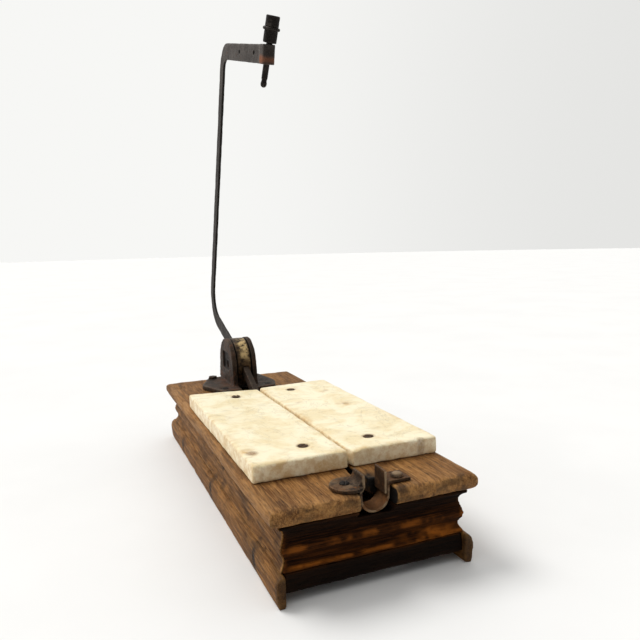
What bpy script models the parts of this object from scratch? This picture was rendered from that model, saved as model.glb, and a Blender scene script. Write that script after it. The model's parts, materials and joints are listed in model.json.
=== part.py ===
"""Cheese wire cutter: moulded wooden base, two marble slabs, cast bracket and hinged bow arm.

Run with: blender --background --python part.py

Sizes below are millimetres and are scaled to metres when each mesh is made.
+X is the cutter's right, +Y its back and +Z up, with the table at Z = 0.
A "depth" is a distance behind the front edge of the top board; back() turns it into Y.
"""
import math

import bmesh
import bpy
from mathutils import Matrix, Vector

MM = 0.001
GAP = 0.3                      # air between neighbouring pieces
PAST = 5.0                     # a cutter reaches this far beyond what it cuts
ROUND = 40                     # sides of an ordinary turned piece

# --- driving dimensions -------------------------------------------------------------------------
BOARD_WIDTH = 207.0
BOARD_LENGTH = 532.0
BOARD_BOTTOM = 71.0
BOARD_TOP = 87.0
BULLNOSE = 6.5                 # rounding of the board's long edges

# The board's opening: half widths, and the depths where it changes, front to back.
NOTCH_LEFT = 19.0              # to the left of the middle
NOTCH_RIGHT = 16.2
MOUTH_LEFT = 7.0               # the slot flares towards the notch
MOUTH_RIGHT = 5.0
MOUTH_LEFT_END = 68.0
MOUTH_RIGHT_END = 60.0
SLOT_HALF = 3.3
TAIL_WAY_HALF = 9.5            # clearance for the anchor tail
TAIL_WAY_START = 367.0
HUB_WAY_HALF = 12.5            # clearance for the hub
HUB_WAY_START = 431.0
HUB_WAY_END = 497.0

SLAB_LENGTH = 300.0
SLAB_LEFT_WIDTH = 96.2
SLAB_RIGHT_WIDTH = 98.2
SLAB_THICKNESS = 17.6
SLAB_SPLIT = 2.6               # the wire's gap between the slabs
SLAB_FRONT = 65.5              # depth of the slabs' front edges
SLAB_ROUNDING = 2.2
SLAB_HEAD_RADIUS = 5.4
SLAB_SCREW_SINK = 0.6          # the screws' heads lie below the marble
SLAB_SCREWS = {                # (x, depth)
    "front_left": (-34.5, 101.0), "rear_left": (-42.0, 329.0),
    "front_right": (37.5, 99.0), "rear_right": (36.0, 331.0),
}

SCREW_RADIUS = 2.2             # shank of every wood screw
SLOT_WIDTH = 1.1               # driver slots

PIVOT_DEPTH = 472.5            # hinge axis, behind the board's front edge
PIVOT_Z = 120.0
AXLE_RADIUS = 5.5
AXLE_HEAD_RADIUS = 9.0
AXLE_SINK = 5.2                # the axle's plain end lies this far inside the left ear's face
EAR_RADIUS = 40.0
EAR_THICKNESS = 7.5
EAR_SPREAD = 3.0               # the ears are this much wider at the flange
RECESS = (1.5, 6.0, 17.5, 13.0, 4.0)   # left ear: offsets from the axis, half sizes, rounding
RECESS_DEPTH = 3.0
HUB_RADIUS = 39.4
HUB_WIDTH = 22.0
FLANGE_THICKNESS = 7.0
FLANGE_GAP_START = 395.0       # the flange is open in front of the hub, for the tail
WEB_THICKNESS = 5.0
FLANGE_LOBES = [               # (x, depth, radius)
    (-38.0, 458.0, 21.5), (-30.0, 494.0, 15.0), (-29.0, 420.0, 15.5),
    (33.0, 446.0, 17.0), (28.0, 492.0, 15.0), (30.0, 424.0, 14.0),
]
BRACKET_SCREWS = {             # (x, depth); the rear left one is a hexagon bolt
    "rear_left": (-35.0, 497.0), "front_left": (-33.0, 424.0),
    "front_right": (33.0, 426.0), "rear_right": (33.0, 495.0),
}
BRACKET_HEAD_RADIUS = 4.8
BOLT_HEAD_RADIUS = 7.0
BOLT_HEAD_HEIGHT = 3.2

BAR_WIDTH = 20.0               # the arm's flat bar, in the plane of the bow
BAR_THICKNESS = 4.0            # across the bow
TAB_WIDTH = 22.5
HEEL_SLOPE = math.radians(18.5)
TAB_SLOPE = math.radians(16.2)
HEEL_END = (PIVOT_DEPTH + 12.0, 136.9)     # corners of the bow's centre line, as (depth, z)
HEEL_BEND = (637.2, 187.0)
TOP_BEND = (482.6, 587.6)
EYE_CENTRE = (281.5, 528.8)
HEEL_BEND_RADIUS = 45.0
TOP_BEND_RADIUS = 26.0
TAB_HOLES = (-46.5, -115.5)    # along the tab from the eye's centre
TAB_HOLE_RADIUS = 2.6
TAB_HOLE_RISE = 1.0            # above the tab's centre line
EYE_HALF = 7.9
EYE_FRONT = 10.0
EYE_SHIFT = 1.0                # the eye's block swells a little more to the right

TAIL_SLOPE = math.radians(26.0)    # the tail runs forward and down from the hub
TAIL_OFFSET = 11.0             # its centre line passes this far above the hinge axis
TAIL_START = 20.0              # along it, from the point nearest the axis
TAIL_RIGHT = 1.8               # and it lies this far to the right of the bow's plane
TAIL_WIDTH = 14.0
TAIL_THICKNESS = 8.4
TAIL_LENGTH = 87.0
TAIL_BACK = 4.0                # the tail goes this far into the hub behind its start
TAIL_EYE_RADIUS = 1.6
RIVET_RADIUS = 2.3
ARM_RIVETS = {"hub_rivet_inner": 6.0, "hub_rivet_outer": 14.5}     # along the heel
TAIL_RIVET = 6.0               # along the tail

# The wire pin and its barrel lean a little from square to the tab, as drilled in the eye.
PIN_LEAN_FORWARD = math.radians(21.4)
PIN_LEAN_RIGHT = math.radians(4.3)
PIN_OFFSET = 2.0               # the pin stands this far to the right of the bow's plane
PIN_RADIUS = 3.8
PIN_TOP = 31.0                 # from the eye's centre, inside the barrel
PIN_END = -38.0
PIN_BORE_GAP = 0.15
BARREL_RADIUS = 8.2
BARREL_FOOT = 12.8             # along the pin, from the eye's centre
BARREL_LENGTH = 30.0
BARREL_CHAMFER = 0.8
RING_HEIGHT = 13.4             # of the ring's foot above the barrel's foot
RING_WIDTH = 4.6
RING_RADIUS = 10.3

KEEPER_FRONT = 12.0            # depths between which the keeper's strap lies
KEEPER_BACK = 33.0
KEEPER_WALL = 3.0
CHANNEL = 12.4                 # inner half width of the keeper's U
CHANNEL_Z = 78.7               # centre of the U's round bottom
WALL_TOP = 100.5
LIP_INNER = -9.4               # face of the left lip that guides the arm's eye
LIP_THICKNESS = 3.4
LIP_FILLET = 8.5
EAR_LOBE = (-22.3, 22.8, 17.0)     # the keeper's left ear: x, depth, radius
RIGHT_EAR_END = 37.0
KEEPER_EAR_THICKNESS = 3.6
KEEPER_SCREW = (-24.5, 24.5)   # (x, depth)
KEEPER_RIVET = (26.0, 19.5)
KEEPER_SCREW_RADIUS = 4.6
KEEPER_RIVET_HEAD = (6.2, 4.0)     # radius and height of its dome
GUIDE_PLATE_FOOT = 79.0
GUIDE_PLATE_INNER = 9.9

MOULDING_TOP = BOARD_BOTTOM - GAP
MOULDING_BOTTOM = 28.6
MOULDING_INNER = 76.0          # half the clear width inside the side mouldings
FRONT_TRIM = 4.0               # the end mouldings stand this much nearer the board's edge
CORNER_BLOCK_LEG = 26.0
PLINTH_BOTTOM = 10.5
PLINTH_DEPTHS = (6.6, 24.0)
RUNNER_TOP = 28.3
RUNNER_INNER = 74.0
RUNNER_SHOULDER = 89.3         # the ends of the runners are cut back to here for the plinths
RUNNER_ENDS = (2.0, BOARD_LENGTH - 2.0)
RUNNER_FACE = 98.6
NAIL_DEPTHS = (70.0, 250.0, 430.0)
NAIL_Z = 15.0
NAIL_LENGTH = 20.0
NAIL_RADIUS = 1.3
NAIL_HEAD = 3.0
NAIL_SINK = 0.4

# Outer face of a moulding: distance in from the board's edge, and height.
MOULDING_PROFILE = [
    (9.2, MOULDING_TOP), (9.2, 67.8), (10.4, 67.4), (12.2, 66.2), (14.2, 63.6), (15.0, 60.4),
    (14.4, 57.0), (12.8, 53.4), (11.6, 50.0), (11.4, 47.0), (12.2, 43.6), (14.2, 40.4),
    (15.2, 37.4), (14.6, 34.6), (12.6, 31.6), (10.8, MOULDING_BOTTOM),
]
# Outer face of a runner: half width and height.
RUNNER_PROFILE = [
    (92.6, RUNNER_TOP), (95.0, 27.0), (97.2, 24.0), (98.4, 20.0), (RUNNER_FACE, 14.0), (97.8, 7.0),
    (96.8, 0.0),
]

# --- derived positions --------------------------------------------------------------------------
HALF_WIDTH = BOARD_WIDTH / 2
SLAB_BOTTOM = BOARD_TOP + GAP
SLAB_TOP = SLAB_BOTTOM + SLAB_THICKNESS
SLAB_BACK = SLAB_FRONT + SLAB_LENGTH
FLANGE_BOTTOM = BOARD_TOP + GAP
FLANGE_TOP = FLANGE_BOTTOM + FLANGE_THICKNESS
EAR_INNER = HUB_WIDTH / 2 + 0.4
EAR_OUTER = EAR_INNER + EAR_THICKNESS
KEEPER_EAR_TOP = BOARD_TOP + GAP + KEEPER_EAR_THICKNESS
NOTCH_BACK = KEEPER_BACK + GAP

# Outline of the board's opening as (x, depth), from the front right round to the front left.
OPENING = [
    (NOTCH_RIGHT, -PAST), (NOTCH_RIGHT, NOTCH_BACK), (MOUTH_RIGHT, NOTCH_BACK),
    (SLOT_HALF, MOUTH_RIGHT_END), (SLOT_HALF, TAIL_WAY_START), (TAIL_WAY_HALF, TAIL_WAY_START),
    (TAIL_WAY_HALF, HUB_WAY_START), (HUB_WAY_HALF, HUB_WAY_START), (HUB_WAY_HALF, HUB_WAY_END),
    (-HUB_WAY_HALF, HUB_WAY_END), (-HUB_WAY_HALF, HUB_WAY_START), (-TAIL_WAY_HALF, HUB_WAY_START),
    (-TAIL_WAY_HALF, TAIL_WAY_START), (-SLOT_HALF, TAIL_WAY_START), (-SLOT_HALF, MOUTH_LEFT_END),
    (-MOUTH_LEFT, NOTCH_BACK), (-NOTCH_LEFT, NOTCH_BACK), (-NOTCH_LEFT, -PAST),
]


def bend_centre(start, corner, end, radius):
    """Centre of the arc that rounds the corner of a path."""
    a = (Vector(start) - Vector(corner)).normalized()
    b = (Vector(end) - Vector(corner)).normalized()
    half = a.angle(b) / 2
    return Vector(corner) + (a + b).normalized() * (radius / math.sin(half))


HEEL_CENTRE = bend_centre(HEEL_END, HEEL_BEND, TOP_BEND, HEEL_BEND_RADIUS)
ARM_BACK = HEEL_CENTRE.x + HEEL_BEND_RADIUS + BAR_WIDTH / 2
ORIGIN_DEPTH = ARM_BACK / 2    # the origin is midway between the board's front and the heel


def back(depth):
    """Y of a point this far behind the board's front edge."""
    return depth - ORIGIN_DEPTH


PIVOT = Vector((0.0, back(PIVOT_DEPTH), PIVOT_Z))
PIN_UP = Vector((
    math.sin(PIN_LEAN_RIGHT),
    -math.sin(PIN_LEAN_FORWARD) * math.cos(PIN_LEAN_RIGHT),
    math.cos(PIN_LEAN_FORWARD) * math.cos(PIN_LEAN_RIGHT),
))
EYE = Vector((PIN_OFFSET, back(EYE_CENTRE[0]), EYE_CENTRE[1]))
TAB_WAY = Vector((0, -math.cos(TAB_SLOPE), -math.sin(TAB_SLOPE)))      # along the tab, to the eye
TAB_UP = Vector((0, -math.sin(TAB_SLOPE), math.cos(TAB_SLOPE)))
HEEL_WAY = Vector((0, math.cos(HEEL_SLOPE), math.sin(HEEL_SLOPE)))
HEEL_ACROSS = Vector((0, -math.sin(HEEL_SLOPE), math.cos(HEEL_SLOPE)))
HEEL_START = Vector((0, back(HEEL_END[0]), HEEL_END[1]))
TAIL_WAY = Vector((0, -math.cos(TAIL_SLOPE), -math.sin(TAIL_SLOPE)))
TAIL_ACROSS = Vector((0, -math.sin(TAIL_SLOPE), math.cos(TAIL_SLOPE)))
TAIL_ROOT = PIVOT + TAIL_ACROSS * TAIL_OFFSET + TAIL_WAY * TAIL_START

MATERIALS = {
    # name: (base colour, metallic, roughness)
    "top_wood": ((0.26, 0.14, 0.065), 0.0, 0.6),
    "dark_wood": ((0.07, 0.035, 0.018), 0.0, 0.6),
    "marble": ((0.80, 0.70, 0.50), 0.0, 0.35),
    "cast_iron": ((0.055, 0.042, 0.036), 0.7, 0.6),
    "forged_iron": ((0.050, 0.042, 0.038), 0.8, 0.5),
    "brass": ((0.16, 0.11, 0.045), 0.9, 0.5),
    "steel": ((0.040, 0.034, 0.030), 0.8, 0.55),
}


# --- mesh helpers -------------------------------------------------------------------------------
def material(name):
    found = bpy.data.materials.get(name)
    if found:
        return found
    colour, metallic, roughness = MATERIALS[name]
    made = bpy.data.materials.new(name)
    made.use_nodes = True
    shader = made.node_tree.nodes["Principled BSDF"]
    shader.inputs["Base Color"].default_value = (*colour, 1.0)
    shader.inputs["Metallic"].default_value = metallic
    shader.inputs["Roughness"].default_value = roughness
    return made


def prism(outline, axis, low, high):
    """Solid with the outline (a list of 2-D points) swept along X, Y or Z."""
    place = {
        "X": lambda a, b, h: (h, a, b),
        "Y": lambda a, b, h: (a, h, b),
        "Z": lambda a, b, h: (a, b, h),
    }[axis]
    bm = bmesh.new()
    first = [bm.verts.new(place(a, b, low)) for a, b in outline]
    last = [bm.verts.new(place(a, b, high)) for a, b in outline]
    bm.faces.new(first)
    bm.faces.new(last)
    count = len(outline)
    for i in range(count):
        j = (i + 1) % count
        bm.faces.new((first[i], first[j], last[j], last[i]))
    bmesh.ops.recalc_face_normals(bm, faces=bm.faces)
    return bm


def box(x0, x1, y0, y1, z0, z1):
    return prism([(x0, y0), (x1, y0), (x1, y1), (x0, y1)], "Z", z0, z1)


def turned(profile, centre, direction, sides=ROUND):
    """Solid of revolution. The profile is a closed loop of (radius, height) points."""
    bm = bmesh.new()
    turn = Vector((0, 0, 1)).rotation_difference(Vector(direction)).to_matrix()
    rings = []
    for radius, height in profile:
        if radius < 1e-6:
            rings.append([bm.verts.new(turn @ Vector((0, 0, height)) + Vector(centre))])
            continue
        ring = []
        for i in range(sides):
            angle = 2 * math.pi * i / sides
            point = Vector((radius * math.cos(angle), radius * math.sin(angle), height))
            ring.append(bm.verts.new(turn @ point + Vector(centre)))
        rings.append(ring)
    for a, b in zip(rings, rings[1:] + rings[:1]):
        if len(a) == 1 and len(b) == 1:
            continue
        for i in range(sides):
            j = (i + 1) % sides
            corners = [a[i % len(a)], a[j % len(a)], b[j % len(b)], b[i % len(b)]]
            face = []
            for corner in corners:
                if corner not in face:
                    face.append(corner)
            bm.faces.new(face)
    bmesh.ops.recalc_face_normals(bm, faces=bm.faces)
    return bm


def rod(radius, start, end, sides=ROUND):
    """Plain cylinder between two points."""
    start, end = Vector(start), Vector(end)
    length = (end - start).length
    return turned([(0, 0), (radius, 0), (radius, length), (0, length)], start, end - start, sides)


def arc(centre, radius, start, end, steps):
    """Points on an arc, with angles in degrees, both ends included."""
    points = []
    for i in range(steps + 1):
        angle = math.radians(start + (end - start) * i / steps)
        points.append((centre[0] + radius * math.cos(angle), centre[1] + radius * math.sin(angle)))
    return points


def merged(*meshes):
    """One bmesh that holds several separate solids."""
    whole = bmesh.new()
    for bm in meshes:
        part = bpy.data.meshes.new("part")
        bm.to_mesh(part)
        bm.free()
        whole.from_mesh(part)
        bpy.data.meshes.remove(part)
    return whole


def add(name, bm, slot, origin=(0, 0, 0), smooth=False):
    """Make the named object, with its origin at a point given in millimetres."""
    origin = Vector(origin)
    bmesh.ops.remove_doubles(bm, verts=bm.verts, dist=1e-5)
    bmesh.ops.translate(bm, verts=bm.verts, vec=-origin)
    bmesh.ops.scale(bm, verts=bm.verts, vec=(MM, MM, MM))
    mesh = bpy.data.meshes.new(name)
    bm.to_mesh(mesh)
    bm.free()
    if smooth:
        mesh.shade_smooth()
        mesh.set_sharp_from_angle(angle=math.radians(35))
    obj = bpy.data.objects.new(name, mesh)
    obj.location = origin * MM
    mesh.materials.append(material(slot))
    bpy.context.scene.collection.objects.link(obj)
    return obj


def boolean(obj, bm, operation):
    """Cut the solids in a bmesh out of an object, or join them to it."""
    tool = add(obj.name + "_" + operation.lower(), bm, obj.data.materials[0].name)
    tool.hide_render = True
    tool.display_type = "WIRE"
    modifier = obj.modifiers.new(operation.lower(), "BOOLEAN")
    modifier.operation = operation
    modifier.solver = "EXACT"
    modifier.object = tool
    return obj


def cut(obj, *meshes):
    return boolean(obj, merged(*meshes), "DIFFERENCE")


# --- wooden base --------------------------------------------------------------------------------
def top_board():
    bm = box(-HALF_WIDTH, HALF_WIDTH, back(0), back(BOARD_LENGTH), BOARD_BOTTOM, BOARD_TOP)
    level = [e for e in bm.edges if abs(e.verts[0].co.z - e.verts[1].co.z) < 1e-6]
    bmesh.ops.bevel(bm, geom=level, offset=BULLNOSE, segments=4, profile=0.5, affect="EDGES")
    board = add("top_board", bm, "top_wood", smooth=True)
    low, high = BOARD_BOTTOM - PAST, BOARD_TOP + PAST
    outline = [(x, back(depth)) for x, depth in OPENING]
    holes = [rod(SCREW_RADIUS + GAP, (x, back(d), low), (x, back(d), high), 20)
             for x, d in screw_places()]
    return cut(board, prism(outline, "Z", low, high), *holes)


def side_profile(side):
    """Closed (x, z) outline of a side moulding."""
    outer = [(side * (HALF_WIDTH - inset), z) for inset, z in MOULDING_PROFILE]
    return outer + [(side * MOULDING_INNER, MOULDING_BOTTOM), (side * MOULDING_INNER, MOULDING_TOP)]


def mitre(bm, side, at_front, keep_side_board):
    """Cut a moulding along the 45 degree plane through the board's corner."""
    corner_y = back(-FRONT_TRIM) if at_front else back(BOARD_LENGTH + FRONT_TRIM)
    inward = 1 if at_front else -1
    point = Vector((side * HALF_WIDTH, corner_y, 0))
    normal = Vector((side, inward, 0)).normalized()
    if not keep_side_board:
        normal = -normal
    point = point + normal * GAP / 2
    cut_faces = bmesh.ops.bisect_plane(
        bm, geom=bm.verts[:] + bm.edges[:] + bm.faces[:], plane_co=point, plane_no=normal,
        clear_inner=True)
    edges = [e for e in cut_faces["geom_cut"] if isinstance(e, bmesh.types.BMEdge)]
    bmesh.ops.edgeloop_fill(bm, edges=edges)


def side_moulding(name, side):
    bm = prism(side_profile(side), "Y", back(-10), back(BOARD_LENGTH + 10))
    mitre(bm, side, True, True)
    mitre(bm, side, False, True)
    bmesh.ops.recalc_face_normals(bm, faces=bm.faces)
    return add(name, bm, "dark_wood", smooth=True)


def end_moulding(name, at_front):
    """Front or rear moulding, with the notch for the keeper in the front one."""
    thickness = HALF_WIDTH - MOULDING_INNER
    inner = thickness - FRONT_TRIM
    outline = []
    for inset, z in MOULDING_PROFILE:
        depth = inset - FRONT_TRIM
        outline.append((back(depth) if at_front else back(BOARD_LENGTH - depth), z))
    inside = back(inner) if at_front else back(BOARD_LENGTH - inner)
    outline += [(inside, MOULDING_BOTTOM), (inside, MOULDING_TOP)]
    bm = prism(outline, "X", -HALF_WIDTH - 10, HALF_WIDTH + 10)
    mitre(bm, 1, at_front, False)
    mitre(bm, -1, at_front, False)
    bmesh.ops.recalc_face_normals(bm, faces=bm.faces)
    moulding = add(name, bm, "dark_wood", smooth=True)
    if at_front:
        floor = CHANNEL_Z - CHANNEL - KEEPER_WALL - GAP
        notch = box(-NOTCH_LEFT, NOTCH_RIGHT, back(-FRONT_TRIM - PAST), back(thickness + PAST),
                    floor, MOULDING_TOP + PAST)
        cut(moulding, notch)
    return moulding


def runner(name, side):
    """Foot board: it carries the base and is rabbeted at both ends for the plinths."""
    outline = [(side * x, z) for x, z in RUNNER_PROFILE]
    outline += [(side * RUNNER_INNER, 0), (side * RUNNER_INNER, RUNNER_TOP)]
    foot = add(name, prism(outline, "Y", back(RUNNER_ENDS[0]), back(RUNNER_ENDS[1])), "dark_wood")
    xs = sorted((side * (RUNNER_INNER - PAST), side * RUNNER_SHOULDER))
    low, high = -PAST, RUNNER_TOP + PAST
    rear = BOARD_LENGTH - PLINTH_DEPTHS[1] - GAP
    cutters = [
        box(xs[0], xs[1], back(-PAST), back(PLINTH_DEPTHS[1] + GAP), low, high),
        box(xs[0], xs[1], back(rear), back(BOARD_LENGTH + PAST), low, high),
    ]
    for depth in NAIL_DEPTHS:
        cutters.append(nail_solid(side, depth, GAP))
    return cut(foot, *cutters)


def nail_solid(side, depth, grow=0.0):
    """A nail with a sunk head; grow enlarges it into its own hole."""
    reach = PAST if grow else -NAIL_SINK
    profile = [
        (0, -NAIL_LENGTH - grow), (NAIL_RADIUS + grow, -NAIL_LENGTH - grow),
        (NAIL_RADIUS + grow, -2.2 - grow), (NAIL_HEAD + grow, -1.4 - grow),
        (NAIL_HEAD + grow, reach), (0, reach),
    ]
    return turned(profile, (side * RUNNER_FACE, back(depth), NAIL_Z), (side, 0, 0), 16)


def nails():
    for word, side in (("left", -1), ("right", 1)):
        for number, depth in enumerate(NAIL_DEPTHS, 1):
            add(f"{word}_runner_nail_{number}", nail_solid(side, depth), "steel", smooth=True)


def plinth(name, at_front):
    d0, d1 = PLINTH_DEPTHS
    if not at_front:
        d0, d1 = BOARD_LENGTH - d1, BOARD_LENGTH - d0
    half = RUNNER_SHOULDER - GAP
    return add(name, box(-half, half, back(d0), back(d1), PLINTH_BOTTOM, RUNNER_TOP), "dark_wood")


def corner_block(name, side, at_front):
    """Three-sided glue block in an inside corner."""
    x = side * (MOULDING_INNER - GAP)
    depth = HALF_WIDTH - MOULDING_INNER - FRONT_TRIM + GAP
    y = back(depth) if at_front else back(BOARD_LENGTH - depth)
    inward = 1 if at_front else -1
    leg = CORNER_BLOCK_LEG
    outline = [(x, y), (x - side * leg, y), (x, y + inward * leg)]
    return add(name, prism(outline, "Z", RUNNER_TOP + GAP, MOULDING_TOP), "dark_wood")


# --- marble slabs -------------------------------------------------------------------------------
def slab_screw_solid(x, depth, grow=0.0):
    """Countersunk screw through the marble into the board; grow makes its hole."""
    top = SLAB_TOP - SLAB_SCREW_SINK
    profile = [
        (0, -26 - grow), (SCREW_RADIUS + grow, -26 - grow), (SCREW_RADIUS + grow, -3.6 - grow),
        (SLAB_HEAD_RADIUS + grow, -0.4), (SLAB_HEAD_RADIUS + grow, PAST if grow else 0),
        (0, PAST if grow else 0),
    ]
    return turned(profile, (x, back(depth), top), (0, 0, 1), 28)


def marble_slab(name, side, width):
    inner = side * SLAB_SPLIT / 2
    outer = side * (SLAB_SPLIT / 2 + width)
    x0, x1 = sorted((inner, outer))
    bm = box(x0, x1, back(SLAB_FRONT), back(SLAB_BACK), SLAB_BOTTOM, SLAB_TOP)
    rim = [e for e in bm.edges if min(v.co.z for v in e.verts) > SLAB_TOP - 0.1]
    corners = [e for e in bm.edges if abs(e.verts[0].co.z - e.verts[1].co.z) > 1.0]
    bmesh.ops.bevel(bm, geom=rim + corners, offset=SLAB_ROUNDING, segments=3, profile=0.5, affect="EDGES")
    slab = add(name, bm, "marble")
    holes = [slab_screw_solid(x, d, GAP) for x, d in SLAB_SCREWS.values() if x * side > 0]
    return cut(slab, *holes)


def slotted(screw, centre, length, depth, angle=0.0):
    """Cut a driver slot in a screw head that faces up."""
    x, y, z = centre
    bm = box(-length, length, -SLOT_WIDTH / 2, SLOT_WIDTH / 2, -depth, PAST)
    bmesh.ops.rotate(bm, verts=bm.verts, cent=(0, 0, 0), matrix=Matrix.Rotation(angle, 3, "Z"))
    bmesh.ops.translate(bm, verts=bm.verts, vec=(x, y, z))
    return cut(screw, bm)


def slab_screws():
    turns = {"front_left": 0.5, "rear_left": 1.3, "front_right": 2.2, "rear_right": 0.1}
    for word, (x, depth) in SLAB_SCREWS.items():
        screw = add("slab_screw_" + word, slab_screw_solid(x, depth), "steel", smooth=True)
        slotted(screw, (x, back(depth), SLAB_TOP - SLAB_SCREW_SINK), 9, 1.1, turns[word])


# --- pivot bracket ------------------------------------------------------------------------------
def screw_places():
    """Every vertical screw that enters the top board."""
    places = list(SLAB_SCREWS.values()) + list(BRACKET_SCREWS.values())
    return places + [KEEPER_SCREW, KEEPER_RIVET]


def flange_outline():
    """Hull around the flange's lobes."""
    points = []
    for x, depth, radius in FLANGE_LOBES:
        points += arc((x, back(depth)), radius, 0, 345, 23)
    points.sort()

    def half(ordered):
        chain = []
        for p in ordered:
            while len(chain) > 1:
                (ax, ay), (bx, by) = chain[-2], chain[-1]
                if (bx - ax) * (p[1] - ay) - (by - ay) * (p[0] - ax) > 1e-9:
                    break
                chain.pop()
            chain.append(p)
        return chain[:-1]

    return half(points) + half(points[::-1])


def ear_outline():
    """Round-topped ear that spreads a little towards the flange."""
    centre = (PIVOT.y, PIVOT_Z)
    foot = EAR_RADIUS + EAR_SPREAD
    top = arc(centre, EAR_RADIUS, 0, 180, 28)
    low = FLANGE_TOP - 1.0
    return top + [(PIVOT.y - foot, FLANGE_TOP + 3), (PIVOT.y - foot - 2, low),
                  (PIVOT.y + foot + 2, low), (PIVOT.y + foot, FLANGE_TOP + 3)]


def pivot_bracket():
    """Cast clevis: lobed flange, two ears and a low web behind the hub."""
    bm = prism(flange_outline(), "Z", FLANGE_BOTTOM, FLANGE_TOP)
    bracket = add("pivot_bracket", bm, "cast_iron")
    for side in (-1, 1):
        x0, x1 = sorted((side * EAR_INNER, side * EAR_OUTER))
        boolean(bracket, prism(ear_outline(), "X", x0, x1), "UNION")
    gap = box(-EAR_INNER - 0.02, EAR_INNER + 0.02, back(FLANGE_GAP_START),
              back(PIVOT_DEPTH + HUB_RADIUS + 1.5), FLANGE_BOTTOM - PAST, FLANGE_TOP + 0.5)
    cut(bracket, gap)
    boolean(bracket, web_block(), "UNION")
    reach = EAR_OUTER + PAST
    bore = rod(AXLE_RADIUS + 0.15, (-reach, PIVOT.y, PIVOT_Z), (reach, PIVOT.y, PIVOT_Z))
    along, up, half_long, half_high, rounding = RECESS
    outline = rounded_rectangle(PIVOT.y + along, PIVOT_Z + up, half_long, half_high, rounding)
    recess = prism(outline, "X", -EAR_OUTER - PAST, -EAR_OUTER + RECESS_DEPTH)
    holes = [bracket_hole(word, x, d) for word, (x, d) in BRACKET_SCREWS.items()]
    cut(bracket, bore)
    cut(bracket, recess)
    return cut(bracket, *holes)


def web_block():
    """The web that closes the clevis at the back; the raised arm's heel rests on it."""
    depth = PIVOT_DEPTH + HUB_RADIUS + 0.8
    heel = HEEL_END[1] + (depth - HEEL_END[0]) * math.tan(HEEL_SLOPE)
    top = heel - BAR_WIDTH / 2 / math.cos(HEEL_SLOPE) - GAP
    return box(-EAR_INNER - 1, EAR_INNER + 1, back(depth), back(depth + WEB_THICKNESS),
               FLANGE_BOTTOM + 0.2, top)


def rounded_rectangle(cx, cy, half_x, half_y, radius):
    points = []
    for sx, sy, start in ((1, 1, 0), (-1, 1, 90), (-1, -1, 180), (1, -1, 270)):
        centre = (cx + sx * (half_x - radius), cy + sy * (half_y - radius))
        points += arc(centre, radius, start, start + 90, 4)
    return points


def bracket_hole(word, x, depth):
    """Clearance for one flange screw; the three slotted ones are countersunk."""
    low, high = FLANGE_BOTTOM - PAST, FLANGE_TOP + PAST
    if word == "rear_left":
        return rod(SCREW_RADIUS + GAP, (x, back(depth), low), (x, back(depth), high), 24)
    return bracket_screw_solid(x, depth, GAP)


def bracket_screw_solid(x, depth, grow=0.0):
    profile = [
        (0, -20 - grow), (SCREW_RADIUS + grow, -20 - grow), (SCREW_RADIUS + grow, -3.4 - grow),
        (BRACKET_HEAD_RADIUS + grow, -0.6), (BRACKET_HEAD_RADIUS + grow, PAST if grow else 0.3),
        (0, PAST if grow else 1.0),
    ]
    return turned(profile, (x, back(depth), FLANGE_TOP - 0.3), (0, 0, 1), 24)


def bracket_fasteners():
    for word, (x, depth) in BRACKET_SCREWS.items():
        if word == "rear_left":
            head = [(x + px, back(depth) + py) for px, py in arc((0, 0), BOLT_HEAD_RADIUS, 15, 315, 5)]
            low = FLANGE_TOP + GAP
            bolt = add("bracket_bolt", prism(head, "Z", low, low + BOLT_HEAD_HEIGHT), "steel")
            shank = rod(SCREW_RADIUS, (x, back(depth), FLANGE_TOP - 20), (x, back(depth), low + 1), 24)
            boolean(bolt, shank, "UNION")
            continue
        screw = add("bracket_screw_" + word, bracket_screw_solid(x, depth), "steel", smooth=True)
        slotted(screw, (x, back(depth), FLANGE_TOP + 0.3), 8, 1.2, 0.7 * x)


def axle_pin():
    """Pin on the hinge axis with one forged head; its plain end lies in the left ear's recess."""
    left, right = -EAR_OUTER + AXLE_SINK, EAR_OUTER + GAP
    profile = [(0, 0), (AXLE_RADIUS - 0.8, 0), (AXLE_RADIUS, 0.8), (AXLE_RADIUS, right - left),
               (AXLE_HEAD_RADIUS, right - left), (AXLE_HEAD_RADIUS, right - left + 2.0),
               (AXLE_HEAD_RADIUS - 2.5, right - left + 3.4),
               (0, right - left + 3.8)]
    bm = turned(profile, (left, PIVOT.y, PIVOT_Z), (1, 0, 0))
    return add("axle_pin", bm, "steel", PIVOT, smooth=True)


# --- hub and arm --------------------------------------------------------------------------------
def slab_along(way, across, root, start, end, half_across, half_x, middle=0.0):
    """Straight block whose length runs along a direction in the plane of the bow."""
    corners = []
    for s, w in ((start, -1), (end, -1), (end, 1), (start, 1)):
        p = root + way * s + across * (w * half_across)
        corners.append((p.y, p.z))
    return prism(corners, "X", middle - half_x, middle + half_x)


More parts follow.
